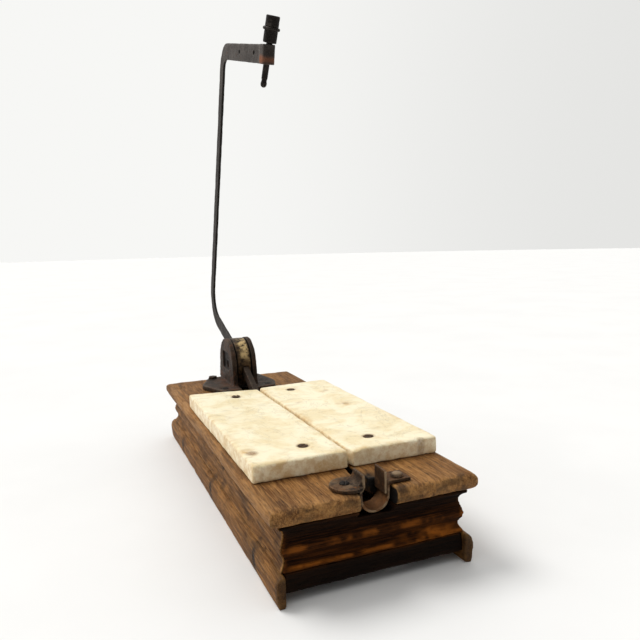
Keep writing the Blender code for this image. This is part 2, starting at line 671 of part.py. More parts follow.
def hub():
    """Turned disc between the ears, slotted for the arm's heel and for the anchor tail."""
    half = HUB_WIDTH / 2
    axis_start = (-half, PIVOT.y, PIVOT_Z)
    profile = [(0, 0), (HUB_RADIUS - 1.5, 0), (HUB_RADIUS, 1.5), (HUB_RADIUS, HUB_WIDTH - 1.5),
               (HUB_RADIUS - 1.5, HUB_WIDTH), (0, HUB_WIDTH)]
    disc = add("hub", turned(profile, axis_start, (1, 0, 0), 72), "brass", PIVOT, smooth=True)
    heel_slot = slab_along(HEEL_WAY, HEEL_ACROSS, HEEL_START, -0.5, HUB_RADIUS + PAST,
                           BAR_WIDTH / 2 + GAP, BAR_THICKNESS / 2 + GAP)
    tail_slot = slab_along(TAIL_WAY, TAIL_ACROSS, TAIL_ROOT, -TAIL_BACK - 0.5, HUB_RADIUS + PAST,
                           TAIL_WIDTH / 2 + GAP, TAIL_THICKNESS / 2 + GAP, TAIL_RIGHT)
    cut(disc, heel_slot, tail_slot)
    bore = rod(AXLE_RADIUS + 0.08, (-HUB_WIDTH, PIVOT.y, PIVOT_Z), (HUB_WIDTH, PIVOT.y, PIVOT_Z))
    holes = [rivet_rod(place, RIVET_RADIUS + GAP, HUB_WIDTH) for place in rivet_places().values()]
    return cut(disc, bore, *holes)


def rivet_places():
    """Points in the plane of the bow where rivets cross the hub."""
    places = {name: HEEL_START + HEEL_WAY * along for name, along in ARM_RIVETS.items()}
    places["tail_rivet"] = TAIL_ROOT + TAIL_WAY * TAIL_RIVET
    return places


def rivet_rod(place, radius, half):
    return rod(radius, (-half, place.y, place.z), (half, place.y, place.z), 20)


def rivets():
    for name, place in rivet_places().items():
        add(name, rivet_rod(place, RIVET_RADIUS, HUB_WIDTH / 2), "steel", PIVOT, smooth=True)


def wire_anchor():
    """Tail bar that holds the wire's lower end, drilled near its tip."""
    half = TAIL_WIDTH / 2
    tip = TAIL_ROOT + TAIL_WAY * (TAIL_LENGTH - half)
    way = math.degrees(math.atan2(TAIL_WAY.z, TAIL_WAY.y))
    start_low = TAIL_ROOT - TAIL_WAY * TAIL_BACK - TAIL_ACROSS * half
    start_high = TAIL_ROOT - TAIL_WAY * TAIL_BACK + TAIL_ACROSS * half
    outline = [(start_low.y, start_low.z), (start_high.y, start_high.z)]
    outline += arc((tip.y, tip.z), half, way - 90, way + 90, 12)
    x0, x1 = TAIL_RIGHT - TAIL_THICKNESS / 2, TAIL_RIGHT + TAIL_THICKNESS / 2
    tail = add("wire_anchor", prism(outline, "X", x0, x1), "forged_iron", PIVOT)
    eye = rod(TAIL_EYE_RADIUS, (-HUB_WIDTH, tip.y, tip.z), (HUB_WIDTH, tip.y, tip.z), 20)
    rivet = rivet_rod(rivet_places()["tail_rivet"], RIVET_RADIUS + GAP, HUB_WIDTH)
    return cut(tail, eye, rivet)


def bow_path():
    """Centre line of the bow as (y, z, half width) points, heel first."""
    corners = [HEEL_END, HEEL_BEND, TOP_BEND, EYE_CENTRE]
    corners = [Vector((back(d), z)) for d, z in corners]
    path = [(corners[0], BAR_WIDTH / 2)]
    bends = ((1, HEEL_BEND_RADIUS, 14, BAR_WIDTH / 2), (2, TOP_BEND_RADIUS, 8, TAB_WIDTH / 2))
    for i, radius, steps, half in bends:
        into = (corners[i] - corners[i - 1]).normalized()
        out = (corners[i + 1] - corners[i]).normalized()
        reach = radius * math.tan(into.angle(out) / 2)
        begin = corners[i] - into * reach
        side = 1 if into.x * out.y - into.y * out.x > 0 else -1
        normal = Vector((-into.y, into.x)) * side
        centre = begin + normal * radius
        sweep = into.angle(out) * side
        for step in range(steps + 1):
            spin = Matrix.Rotation(sweep * step / steps, 2)
            share = step / steps
            width = BAR_WIDTH / 2 + (half - BAR_WIDTH / 2) * share
            path.append((centre + spin @ (begin - centre), width))
    path.append((corners[3], TAB_WIDTH / 2))
    return path


def bow_outline():
    """Both edges of the bar, offset square to the centre line."""
    path = bow_path()
    left, right = [], []
    for i, (point, half) in enumerate(path):
        before = path[max(i - 1, 0)][0]
        after = path[min(i + 1, len(path) - 1)][0]
        way = (after - before).normalized()
        if i in (0, 1):
            way = (path[1][0] - path[0][0]).normalized()
        normal = Vector((-way.y, way.x))
        left.append(tuple(point + normal * half))
        right.append(tuple(point - normal * half))
    return right + left[::-1]


def eye_block():
    """Forged eye: it swells from the tab's thickness to a block around the pin's hole."""
    plan = [(-32, 1.9), (-22, 2.2), (-15, 3.8), (-10, 6.6), (-5, EYE_HALF), (6, EYE_HALF),
            (9, EYE_HALF - 1.2), (EYE_FRONT, EYE_HALF - 3.2)]
    right = [(s, x + EYE_SHIFT * (x - 1.9) / 6) for s, x in plan]
    left = [(s, EYE_SHIFT * (x - 1.9) / 6 - x) for s, x in reversed(plan)]
    loop = right + left
    middle = Vector((0.0, EYE.y, EYE.z))
    bm = bmesh.new()
    ends = []
    for height in (-TAB_WIDTH / 2, TAB_WIDTH / 2):
        ring = []
        for s, x in loop:
            ring.append(bm.verts.new(middle + TAB_WAY * s + TAB_UP * height + Vector((x, 0, 0))))
        bm.faces.new(ring)
        ends.append(ring)
    low, high = ends
    for i in range(len(loop)):
        j = (i + 1) % len(loop)
        bm.faces.new((low[i], low[j], high[j], high[i]))
    bmesh.ops.recalc_face_normals(bm, faces=bm.faces)
    return bm


def bow_arm():
    half = BAR_THICKNESS / 2
    arm = add("bow_arm", prism(bow_outline(), "X", -half, half), "forged_iron", PIVOT)
    boolean(arm, eye_block(), "UNION")
    pin_hole = rod(PIN_RADIUS + PIN_BORE_GAP, EYE - PIN_UP * 40, EYE + PIN_UP * 40)
    cutters = [pin_hole]
    for along in TAB_HOLES:
        centre = EYE + TAB_WAY * along + TAB_UP * TAB_HOLE_RISE
        start, end = (-PAST, centre.y, centre.z), (PAST, centre.y, centre.z)
        cutters.append(rod(TAB_HOLE_RADIUS, start, end, 20))
    for name in ARM_RIVETS:
        cutters.append(rivet_rod(rivet_places()[name], RIVET_RADIUS + GAP, PAST))
    return cut(arm, *cutters)


# --- wire tensioner -----------------------------------------------------------------------------
def tensioner_barrel():
    """Round nut with a blind bore for the pin; its foot bears on the eye."""
    bore = PIN_RADIUS + PIN_BORE_GAP
    r = BARREL_RADIUS
    edge = BARREL_CHAMFER
    roof = BARREL_LENGTH - 6.0
    profile = [(bore, 0), (r - edge, 0), (r, edge), (r, RING_HEIGHT), (r - 0.6, RING_HEIGHT),
               (r - 0.6, RING_HEIGHT + RING_WIDTH), (r, RING_HEIGHT + RING_WIDTH),
               (r, BARREL_LENGTH - edge), (r - edge, BARREL_LENGTH), (0, BARREL_LENGTH),
               (0, roof), (bore, roof)]
    bm = turned(profile, EYE + PIN_UP * BARREL_FOOT, PIN_UP)
    return add("tensioner_barrel", bm, "steel", EYE, smooth=True)


def tensioner_ring():
    inner = BARREL_RADIUS + GAP
    outer = RING_RADIUS
    profile = [(inner, GAP), (outer - 1.2, GAP), (outer, 1.4), (outer, RING_WIDTH - 1.6),
               (outer - 1.4, RING_WIDTH - GAP), (inner, RING_WIDTH - GAP)]
    bm = turned(profile, EYE + PIN_UP * (BARREL_FOOT + RING_HEIGHT), PIN_UP)
    return add("tensioner_ring", bm, "steel", EYE, smooth=True)


def wire_pin():
    """Round pin with a waisted, ball-ended tip that is drilled for the wire."""
    r = PIN_RADIUS
    tip = [(r * math.cos(math.radians(a)), PIN_END + r + r * math.sin(math.radians(a)))
           for a in range(-75, 1, 15)]
    profile = [(0, PIN_END)] + tip + [(r, -32.0), (r - 0.5, -31.4), (r - 0.5, -28.4), (r, -27.8),
                                      (r, PIN_TOP - 0.8), (r - 0.8, PIN_TOP), (0, PIN_TOP)]
    pin = add("wire_pin", turned(profile, EYE, PIN_UP, 32), "steel", EYE, smooth=True)
    hole = EYE + PIN_UP * (PIN_END + 3.6)
    sideways = PIN_UP.cross(Vector((1, 0, 0))).normalized()
    return cut(pin, rod(0.9, hole - sideways * 10, hole + sideways * 10, 12))


# --- front keeper -------------------------------------------------------------------------------
def front_keeper():
    """Iron strap bent to a U, with a lobed ear and an upturned lip on its left."""
    outer = CHANNEL + KEEPER_WALL
    low = BOARD_TOP + GAP
    sunk = KEEPER_EAR_TOP - 0.5
    lip_outer = LIP_INNER - LIP_THICKNESS
    fillet = arc((lip_outer - LIP_FILLET, sunk + LIP_FILLET), LIP_FILLET, 270, 360, 8)
    outline = [(-30.0, low + 0.5), (-30.0, sunk)] + fillet
    outline += [(lip_outer + 0.4, WALL_TOP - 0.4), (lip_outer + 1.6, WALL_TOP),
                (LIP_INNER - 0.5, WALL_TOP - 0.6), (LIP_INNER, WALL_TOP - 2), (LIP_INNER, 88.0),
                (-CHANNEL, 84.0)]
    outline += arc((0, CHANNEL_Z), CHANNEL, 180, 360, 20)
    outline += [(CHANNEL, KEEPER_EAR_TOP), (RIGHT_EAR_END - 1, KEEPER_EAR_TOP),
                (RIGHT_EAR_END, KEEPER_EAR_TOP - 1), (RIGHT_EAR_END, low), (outer, low)]
    outline += arc((0, CHANNEL_Z), outer, 360, 180, 20)
    outline += [(-outer, low + 0.5)]
    strap = prism(outline, "Y", back(KEEPER_FRONT), back(KEEPER_BACK))
    keeper = add("front_keeper", strap, "cast_iron")
    boolean(keeper, prism(ear_lobe_outline(), "Z", low, KEEPER_EAR_TOP), "UNION")
    cut(keeper, keeper_screw_solid(GAP))
    return cut(keeper, keeper_rivet_hole())


def ear_lobe_outline():
    """Plan of the left ear: a round lobe that narrows to the strap."""
    x, depth, radius = EAR_LOBE
    lobe = arc((x, back(depth)), radius, 60, 300, 20)
    return [(-11.0, back(KEEPER_FRONT + 1)), (-11.0, back(KEEPER_BACK - 1))] + lobe


def keeper_screw_solid(grow=0.0):
    x, depth = KEEPER_SCREW
    profile = [
        (0, -18 - grow), (SCREW_RADIUS + grow, -18 - grow), (SCREW_RADIUS + grow, -2.6 - grow),
        (KEEPER_SCREW_RADIUS + grow, -0.2), (KEEPER_SCREW_RADIUS + grow, PAST if grow else 0.5),
        (3.2, PAST if grow else 1.3), (0, PAST if grow else 1.6),
    ]
    return turned(profile, (x, back(depth), KEEPER_EAR_TOP), (0, 0, 1), 24)


def keeper_rivet_hole():
    x, depth = KEEPER_RIVET
    low, high = BOARD_TOP - PAST, KEEPER_EAR_TOP + PAST
    return rod(SCREW_RADIUS + GAP, (x, back(depth), low), (x, back(depth), high), 20)


def keeper_fasteners():
    screw = add("keeper_screw_left", keeper_screw_solid(), "steel", smooth=True)
    x, depth = KEEPER_SCREW
    slotted(screw, (x, back(depth), KEEPER_EAR_TOP + 1.6), 8, 1.6, 1.1)
    x, depth = KEEPER_RIVET
    r = SCREW_RADIUS
    wide, high = KEEPER_RIVET_HEAD
    dome = [(wide * math.cos(math.radians(a)), GAP + high * math.sin(math.radians(a)))
            for a in range(0, 90, 15)]
    profile = [(0, -20), (r, -20), (r, GAP)] + dome + [(0, GAP + high)]
    bm = turned(profile, (x, back(depth), KEEPER_EAR_TOP), (0, 0, 1), 28)
    add("keeper_rivet_right", bm, "steel", smooth=True)


def guide_plate():
    """Upright plate against the U's right wall; with the lip it steers the arm's eye."""
    d0, d1 = KEEPER_FRONT + 0.5, KEEPER_BACK
    outline = [(back(d0), GUIDE_PLATE_FOOT), (back(d1), GUIDE_PLATE_FOOT), (back(d1), WALL_TOP),
               (back(d0 + 2), WALL_TOP - 0.4), (back(d0), WALL_TOP - 1.6)]
    plate = prism(outline, "X", GUIDE_PLATE_INNER, CHANNEL - GAP)
    return add("keeper_guide_plate", plate, "cast_iron")


# --- assembly -----------------------------------------------------------------------------------
def clear_scene():
    for obj in list(bpy.data.objects):
        bpy.data.objects.remove(obj, do_unlink=True)


def build():
    clear_scene()
    top_board()
    side_moulding("left_moulding", -1)
    side_moulding("right_moulding", 1)
    end_moulding("front_moulding", True)
    end_moulding("rear_moulding", False)
    runner("left_runner", -1)
    runner("right_runner", 1)
    nails()
    plinth("front_plinth", True)
    plinth("rear_plinth", False)
    for word, side, width in (("left", -1, SLAB_LEFT_WIDTH), ("right", 1, SLAB_RIGHT_WIDTH)):
        corner_block("corner_block_front_" + word, side, True)
        corner_block("corner_block_rear_" + word, side, False)
        marble_slab("marble_slab_" + word, side, width)
    slab_screws()
    pivot_bracket()
    bracket_fasteners()
    axle_pin()
    hub()
    rivets()
    wire_anchor()
    bow_arm()
    tensioner_barrel()
    tensioner_ring()
    wire_pin()
    front_keeper()
    keeper_fasteners()
    guide_plate()


build()
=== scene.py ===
"""Looks of the cheese wire cutter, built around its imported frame.

Every CAD node is remeshed finely, worn and given a procedural material. Lengths are metres, in
the frame's own axes: +X right, +Y towards the hinge and +Z up from the table.
"""
import json
import math

import bpy
import numpy as np
from mathutils import Euler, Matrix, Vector


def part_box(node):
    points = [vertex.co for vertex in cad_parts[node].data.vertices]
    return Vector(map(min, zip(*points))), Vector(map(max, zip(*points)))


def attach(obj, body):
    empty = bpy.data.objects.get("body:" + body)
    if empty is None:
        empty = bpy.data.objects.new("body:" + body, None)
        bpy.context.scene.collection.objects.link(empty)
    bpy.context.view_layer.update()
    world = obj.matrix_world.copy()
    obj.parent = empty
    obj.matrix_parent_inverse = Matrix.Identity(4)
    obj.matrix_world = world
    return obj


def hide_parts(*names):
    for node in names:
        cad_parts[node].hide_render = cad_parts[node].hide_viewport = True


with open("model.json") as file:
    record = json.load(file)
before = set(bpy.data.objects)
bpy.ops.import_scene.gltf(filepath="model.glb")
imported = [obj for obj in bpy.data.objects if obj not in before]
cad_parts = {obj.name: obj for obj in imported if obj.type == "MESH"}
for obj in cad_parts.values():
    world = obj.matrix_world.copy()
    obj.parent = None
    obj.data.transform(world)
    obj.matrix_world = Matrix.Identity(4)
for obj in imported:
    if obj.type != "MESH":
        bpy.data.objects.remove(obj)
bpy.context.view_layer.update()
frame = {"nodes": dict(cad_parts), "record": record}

RECORD = frame["record"]
BODY_OF = {node: body for body, nodes in RECORD["behaviour"]["bodies"].items() for node in nodes}
MM = 0.001


# --- noise --------------------------------------------------------------------------------------
WORD = 2 ** 32                       # values of one 32-bit word
HASH_AXES = [np.uint32(odd) for odd in (374761393, 668265263, 2246822519)]
HASH_SEED = 3266489917
HASH_MIXES = ((13, 1274126177), (16, 2654435761))
HASH_LAST_SHIFT = 15
NOISE_ORIGIN = 1000.5                # keeps the lattice away from the piece's planes of symmetry
OCTAVE_STEP = 2.03                   # each octave is this much finer than the one before
OCTAVE_WEIGHT = 0.5
NOISE_GAIN = 1.6                     # brings the sum of octaves back to about -1 to 1


def lattice(cells, seed):
    """Repeatable value from -1 to 1 at each lattice point."""
    h = np.full(len(cells), seed * HASH_SEED % WORD, dtype=np.uint32)
    for axis, odd in enumerate(HASH_AXES):
        h += cells[:, axis].astype(np.uint32) * odd
    for shift, odd in HASH_MIXES:
        h = (h ^ (h >> np.uint32(shift))) * np.uint32(odd)
    h = h ^ (h >> np.uint32(HASH_LAST_SHIFT))
    return h.astype(np.float64) / ((WORD - 1) / 2) - 1.0


def noise(points, size, seed=0, octaves=3):
    """Smooth noise from about -1 to 1; size is one length or one for each axis."""
    total = np.zeros(len(points))
    scale = points / np.array(size, dtype=float) + NOISE_ORIGIN
    weight = 1.0
    whole = 0.0
    for octave in range(octaves):
        cell = np.floor(scale).astype(np.int64)
        part = scale - cell
        part = part * part * (3 - 2 * part)
        value = np.zeros(len(points))
        for corner in range(8):
            step = (corner & 1, corner >> 1 & 1, corner >> 2 & 1)
            share = np.ones(len(points))
            for axis in range(3):
                share = share * (part[:, axis] if step[axis] else 1 - part[:, axis])
            value += share * lattice(cell + np.array(step), seed + octave)
        total += weight * value
        whole += weight
        weight *= OCTAVE_WEIGHT
        scale = scale * OCTAVE_STEP
    return total / whole * NOISE_GAIN


def ramp(values, low, high):
    """0 below low, 1 above high and smooth between; low may be above high."""
    share = np.clip((values - low) / (high - low), 0.0, 1.0)
    return share * share * (3 - 2 * share)


# --- fine skins ---------------------------------------------------------------------------------
class Skin:
    """A fine mesh that stands for one CAD node and never leaves that node's box."""

    def __init__(self, node, voxel):
        self.node = node
        self.voxel = voxel
        self.low, self.high = (np.array(corner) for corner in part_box(node))
        self.mesh = self.remeshed(frame["nodes"][node].data, voxel)
        count = len(self.mesh.vertices)
        flat = np.empty(count * 3)
        self.mesh.vertices.foreach_get("co", flat)
        self.co = flat.reshape(-1, 3)
        pairs = np.empty(len(self.mesh.edges) * 2, dtype=np.int32)
        self.mesh.edges.foreach_get("vertices", pairs)
        self.a, self.b = pairs[0::2], pairs[1::2]
        self.degree = np.bincount(self.a, minlength=count) + np.bincount(self.b, minlength=count)
        self.masks = {}

    @staticmethod
    def remeshed(source, voxel):
        """Even quads over the node's solid."""
        work = bpy.data.objects.new("work", source.copy())
        bpy.context.scene.collection.objects.link(work)
        modifier = work.modifiers.new("even", "REMESH")
        modifier.mode = "VOXEL"
        modifier.voxel_size = voxel
        modifier.adaptivity = 0.0
        bpy.context.view_layer.update()
        graph = bpy.context.evaluated_depsgraph_get()
        made = bpy.data.meshes.new_from_object(work.evaluated_get(graph))
        old = work.data
        bpy.data.objects.remove(work)
        bpy.data.meshes.remove(old)
        made.materials.clear()
        return made

    def mean(self, values):
        """Mean of a value over each point's neighbours."""
        count = len(self.co)
        if values.ndim == 1:
            total = np.bincount(self.a, values[self.b], count)
            total = total + np.bincount(self.b, values[self.a], count)
            return total / np.maximum(self.degree, 1)
        return np.stack([self.mean(values[:, i]) for i in range(values.shape[1])], axis=1)

    def smooth(self, rounds, share=None, strength=0.5):
        """Rounds the edges; share (0 to 1 at each point) limits where."""
        if share is None:
            share = np.ones(len(self.co))
        for _ in range(rounds):
            self.co += (self.mean(self.co) - self.co) * (strength * share)[:, None]

    def normals(self):
        """Normals of the mesh as it stands."""
        self.mesh.vertices.foreach_set("co", self.co.ravel())
        self.mesh.update()
        flat = np.empty(len(self.co) * 3, dtype=np.float32)
        self.mesh.vertex_normals.foreach_get("vector", flat)
        return flat.reshape(-1, 3).astype(float)

    def push(self, amount):
        """Moves each point along its normal; a negative amount sinks it."""
        self.co += self.normals() * amount[:, None]

    def edges(self, spread=3, sharp=0.10):
        """Masks 'edge' (worn convex places) and 'hollow' (dirt traps), from the curvature."""
        bend = ((self.co - self.mean(self.co)) * self.normals()).sum(axis=1) / self.voxel
        for _ in range(spread):
            bend = self.mean(bend)
        self.masks["edge"] = np.clip(bend / sharp, 0.0, 1.0)
        self.masks["hollow"] = np.clip(-bend / sharp, 0.0, 1.0)

    def made(self, finish):
        """The finished object, riding on the node's body in the node's place."""
        self.co = np.clip(self.co, self.low, self.high)
        self.mesh.vertices.foreach_set("co", self.co.ravel())
        self.mesh.update()
        self.mesh.shade_smooth()
        for name, values in self.masks.items():
            layer = self.mesh.attributes.new(name, "FLOAT", "POINT")
            layer.data.foreach_set("value", values.astype(np.float32))
        piece = bpy.data.objects.new(self.node + "_skin", self.mesh)
        self.mesh.materials.append(finish)
        bpy.context.scene.collection.objects.link(piece)
        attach(piece, BODY_OF[self.node])
        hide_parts(self.node)
        return piece


# --- procedural materials -----------------------------------------------------------------------
def tone(red, green, blue):
    """A colour given as it looks on screen, 0 to 255, as linear light."""
    def linear(value):
        value /= 255
        return value / 12.92 if value <= 0.04045 else ((value + 0.055) / 1.055) ** 2.4
    return (linear(red), linear(green), linear(blue), 1.0)


SHIFT_SHARES = (1.0, 0.7, 1.3)       # how a pattern's shift is shared among the axes


class Paint:
    """Builds one node material from noise, masks and mixes."""

    def __init__(self, name, roughness=0.6, metallic=0.0, gloss=0.5):
        self.material = bpy.data.materials.new(name)
        self.material.use_nodes = True
        self.tree = self.material.node_tree
        self.shader = self.tree.nodes["Principled BSDF"]
        self.shader.inputs["Roughness"].default_value = roughness
        self.shader.inputs["Metallic"].default_value = metallic
        self.shader.inputs["Specular IOR Level"].default_value = gloss
        self.coords = self.tree.nodes.new("ShaderNodeTexCoord").outputs["Object"]

    def put(self, socket, value):
        """Sets a number or colour, or links another node's output."""
        if isinstance(value, (int, float, tuple)):
            socket.default_value = value
        else:
            self.tree.links.new(value, socket)

    def stretched(self, stretch, shift=0.0):
        """Coordinates in which a pattern looks stretched by these factors."""
        mapping = self.tree.nodes.new("ShaderNodeMapping")
        mapping.inputs["Scale"].default_value = [1 / s for s in stretch]
        mapping.inputs["Location"].default_value = [shift * share for share in SHIFT_SHARES]
        self.tree.links.new(self.coords, mapping.inputs["Vector"])
        return mapping.outputs["Vector"]

    def noise(self, size, detail=4.0, stretch=(1, 1, 1), warp=0.0, rough=0.6, shift=0.0):
        """Noise with features of about this size in metres, as a value around 0.5."""
        node = self.tree.nodes.new("ShaderNodeTexNoise")
        node.inputs["Scale"].default_value = 1 / size
        node.inputs["Detail"].default_value = detail
        node.inputs["Roughness"].default_value = rough
        node.inputs["Distortion"].default_value = warp
        self.tree.links.new(self.stretched(stretch, shift), node.inputs["Vector"])
        return node.outputs[0]

    def cells(self, size, stretch=(1, 1, 1), shift=0.0):
        """Distance to scattered points, in cells of about this size."""
        node = self.tree.nodes.new("ShaderNodeTexVoronoi")
        node.inputs["Scale"].default_value = 1 / size
        self.tree.links.new(self.stretched(stretch, shift), node.inputs["Vector"])
        return node.outputs["Distance"]

    def mask(self, name):
        """One of the masks that a Skin stores on its points, or 0 where it has none."""
        node = self.tree.nodes.new("ShaderNodeAttribute")
        node.attribute_name = name
        return node.outputs["Fac"]

    def span(self, value, low, high, start=0.0, end=1.0):
        """Maps low..high to start..end, smoothly and held at both ends."""
        node = self.tree.nodes.new("ShaderNodeMapRange")
        node.interpolation_type = "SMOOTHSTEP"
        self.put(node.inputs["Value"], value)
        node.inputs["From Min"].default_value = low
        node.inputs["From Max"].default_value = high
        node.inputs["To Min"].default_value = start
        node.inputs["To Max"].default_value = end
        return node.outputs["Result"]

    def sum(self, operation, first, second):
        """One math node."""
        node = self.tree.nodes.new("ShaderNodeMath")
        node.operation = operation
        self.put(node.inputs[0], first)
        self.put(node.inputs[1], second)
        return node.outputs[0]

    def mix(self, share, under, over, blend="MIX"):
        """Colour under, with over laid on it by share."""
        node = self.tree.nodes.new("ShaderNodeMix")
        node.data_type = "RGBA"
        node.blend_type = blend
        self.put(node.inputs[0], share)
        self.put(node.inputs[6], under)
        self.put(node.inputs[7], over)
        return node.outputs[2]

    def finish(self, colour, roughness, *bumps):
        """Each bump is (value, depth in metres)."""
        self.put(self.shader.inputs["Base Color"], colour)
        self.put(self.shader.inputs["Roughness"], roughness)
        normal = None
        for value, depth in bumps:
            node = self.tree.nodes.new("ShaderNodeBump")
            node.inputs["Strength"].default_value = 1.0
            node.inputs["Distance"].default_value = depth
            self.tree.links.new(value, node.inputs["Height"])
            if normal is not None:
                self.tree.links.new(normal, node.inputs["Normal"])
            normal = node.outputs["Normal"]
        self.tree.links.new(normal, self.shader.inputs["Normal"])
        return self.material


# Sizes of the patterns in the wood, in metres. Each is stretched along the grain.
FIGURE_SIZE = 0.016
BAND_SIZE = 0.005
VEIN_SIZE = 0.0030
FIBRE_SIZE = 0.0011
PORE_SIZE = 0.0007
BLOTCH_SIZE = 0.045
RUB_SIZE = 0.008
SOIL_SIZE = 0.012
BAND_RELIEF = 0.0012
FIBRE_RELIEF = 0.0006


def lengthened(grain, share):
    """The grain's stretch, made longer or shorter by a share."""
    return tuple(1 + (along - 1) * share for along in grain)


def wood(name, tones, grain, shift=0.0, edge_share=0.8, gloss=0.16):
    """Open-grained old wood; grain is the stretch of its fibres along each axis."""
    dark, middle, light, worn, dirt = tones
    paint = Paint(name, gloss=gloss)
    short = lengthened(grain, 0.35)
    figure = paint.noise(FIGURE_SIZE, 4, grain, warp=0.6, shift=shift)
    bands = paint.noise(BAND_SIZE, 5, grain, warp=0.3, shift=shift + 3)
    fibre = paint.noise(FIBRE_SIZE, 4, lengthened(grain, 2.2), rough=0.7, shift=shift)
    pores = paint.noise(PORE_SIZE, 2, lengthened(grain, 1.2), shift=shift + 7)
    blotch = paint.noise(BLOTCH_SIZE, 5, short, shift=shift + 11)
    vein = paint.noise(VEIN_SIZE, 3, lengthened(grain, 2.6), rough=0.5, shift=shift + 13)
    # Grain, from the broad figure down to the fibres.
    colour = paint.mix(paint.span(figure, 0.36, 0.62), dark, middle)
    colour = paint.mix(paint.span(bands, 0.50, 0.70, 0.0, 0.75), colour, light)
    colour = paint.mix(paint.span(blotch, 0.42, 0.62, 0.0, 0.55), colour, dark)
    colour = paint.mix(paint.span(fibre, 0.46, 0.62, 0.0, 0.55), colour, light)
    colour = paint.mix(paint.span(fibre, 0.48, 0.36, 0.0, 0.6), colour, dark)
    colour = paint.mix(paint.span(vein, 0.44, 0.34, 0.0, 0.5), colour, dirt)
    open_pore = paint.span(pores, 0.40, 0.31)
    colour = paint.mix(paint.sum("MULTIPLY", open_pore, 0.75), colour, dirt)
    # Wear on the edges, then soil, then the marks of each piece, which include painted highlights and
    # painted shade.
    rub = paint.span(paint.noise(RUB_SIZE, 5, short, shift=shift + 5), 0.36, 0.62)
    wear = paint.sum("MULTIPLY", paint.mask("edge"), rub)
    colour = paint.mix(paint.sum("MULTIPLY", wear, edge_share), colour, worn)
    soil = paint.span(paint.noise(SOIL_SIZE, 6, short, rough=0.7, shift=shift + 9), 0.30, 0.62)
    grime = paint.sum("MULTIPLY", paint.mask("grime"), soil)
    colour = paint.mix(paint.sum("MULTIPLY", grime, 0.8), colour, dirt)
    colour = paint.mix(paint.sum("MULTIPLY", paint.mask("hollow"), 0.6), colour, dirt)
    # The pale mask lays painted highlights in the worn tone; the black mask lays painted shade as well
    # as soot and knots.
    colour = paint.mix(paint.mask("pale"), colour, worn)
    colour = paint.mix(paint.mask("black"), colour, SOOT_AND_SHADE)
    roughness = paint.span(paint.sum("ADD", fibre, wear), 0.3, 1.2, 0.72, 0.50)
    height = paint.sum("SUBTRACT", fibre, open_pore)
    return paint.finish(colour, roughness, (bands, BAND_RELIEF), (height, FIBRE_RELIEF))


# Tones of the marble and sizes of its patterns, in metres.
MARBLE_WHITE = tone(248, 238, 207)
MARBLE_CREAM = tone(236, 219, 176)
MARBLE_VEIL = tone(214, 198, 160)
MARBLE_VEIN = tone(176, 160, 128)
MARBLE_TAN = tone(210, 174, 116)
MARBLE_BROWN = tone(134, 92, 46)
MARBLE_SIDE = tone(254, 242, 212)
MARBLE_SIDE_STAIN = tone(226, 200, 156)
CLOUD_SIZE = 0.034
MOTTLE_SIZE = 0.0075
FLECK_SIZE = 0.0024
VEIL_SIZE = 0.012
MARBLE_VEIN_SIZE = 0.050
PIT_SIZE = 0.0035
MOTTLE_RELIEF = 0.0006
PIT_RELIEF = -0.0003


def marble():
    """Cream marble, yellowed and stained along its edges and round its screws."""
    paint = Paint("marble_old", gloss=0.35)
    clouds = paint.noise(CLOUD_SIZE, 6, warp=0.5)
    mottle = paint.noise(MOTTLE_SIZE, 6, rough=0.7, shift=2)
    fleck = paint.noise(FLECK_SIZE, 4, rough=0.7, shift=5)
    veil = paint.noise(VEIL_SIZE, 5, (2.2, 1, 1), rough=0.6, shift=14)
    vein = paint.noise(MARBLE_VEIN_SIZE, 5, (1, 2.2, 1), warp=1.4, shift=9)
    # The stone itself: clouds, veils, tan patches and thin grey veins.
    colour = paint.mix(paint.span(clouds, 0.40, 0.66), MARBLE_WHITE, MARBLE_CREAM)
    colour = paint.mix(paint.span(veil, 0.54, 0.70, 0.0, 0.45), colour, MARBLE_VEIL)
    patch = paint.sum("MULTIPLY", paint.span(mottle, 0.54, 0.72), paint.span(clouds, 0.44, 0.62))
    colour = paint.mix(paint.sum("MULTIPLY", patch, 0.55), colour, MARBLE_TAN)
    colour = paint.mix(paint.span(fleck, 0.60, 0.72, 0.0, 0.5), colour, MARBLE_CREAM)
    line = paint.sum("ABSOLUTE", paint.sum("SUBTRACT", vein, 0.5), 0.0)
    colour = paint.mix(paint.span(line, 0.012, 0.0, 0.0, 0.30), colour, MARBLE_VEIN)
    # Its side faces, rims, stains and pits.
    face = paint.mix(paint.span(mottle, 0.35, 0.62), MARBLE_SIDE, MARBLE_SIDE_STAIN)
    colour = paint.mix(paint.sum("MULTIPLY", paint.mask("side"), 0.85), colour, face)
    rim = paint.sum("MULTIPLY", paint.mask("edge"), paint.span(mottle, 0.36, 0.60))
    colour = paint.mix(paint.sum("MULTIPLY", rim, 0.30), colour, MARBLE_TAN)
    stain = paint.sum("MULTIPLY", paint.mask("stain"), paint.span(mottle, 0.28, 0.60, 0.4, 1.0))
    colour = paint.mix(stain, colour, MARBLE_TAN)
    ring = paint.sum("MULTIPLY", paint.mask("rust"), paint.span(fleck, 0.30, 0.62, 0.5, 1.0))
    colour = paint.mix(ring, colour, MARBLE_BROWN)
    colour = paint.mix(paint.sum("MULTIPLY", paint.mask("hollow"), 0.8), colour, MARBLE_BROWN)
    pits = paint.span(paint.cells(PIT_SIZE, shift=4), 0.16, 0.05)
    colour = paint.mix(paint.sum("MULTIPLY", pits, 0.35), colour, MARBLE_TAN)
    roughness = paint.span(mottle, 0.3, 0.7, 0.36, 0.60)
    paint.shader.inputs["Subsurface Weight"].default_value = 0.06
    paint.shader.inputs["Subsurface Radius"].default_value = (0.004, 0.003, 0.002)
    return paint.finish(colour, roughness, (mottle, MOTTLE_RELIEF), (pits, PIT_RELIEF))


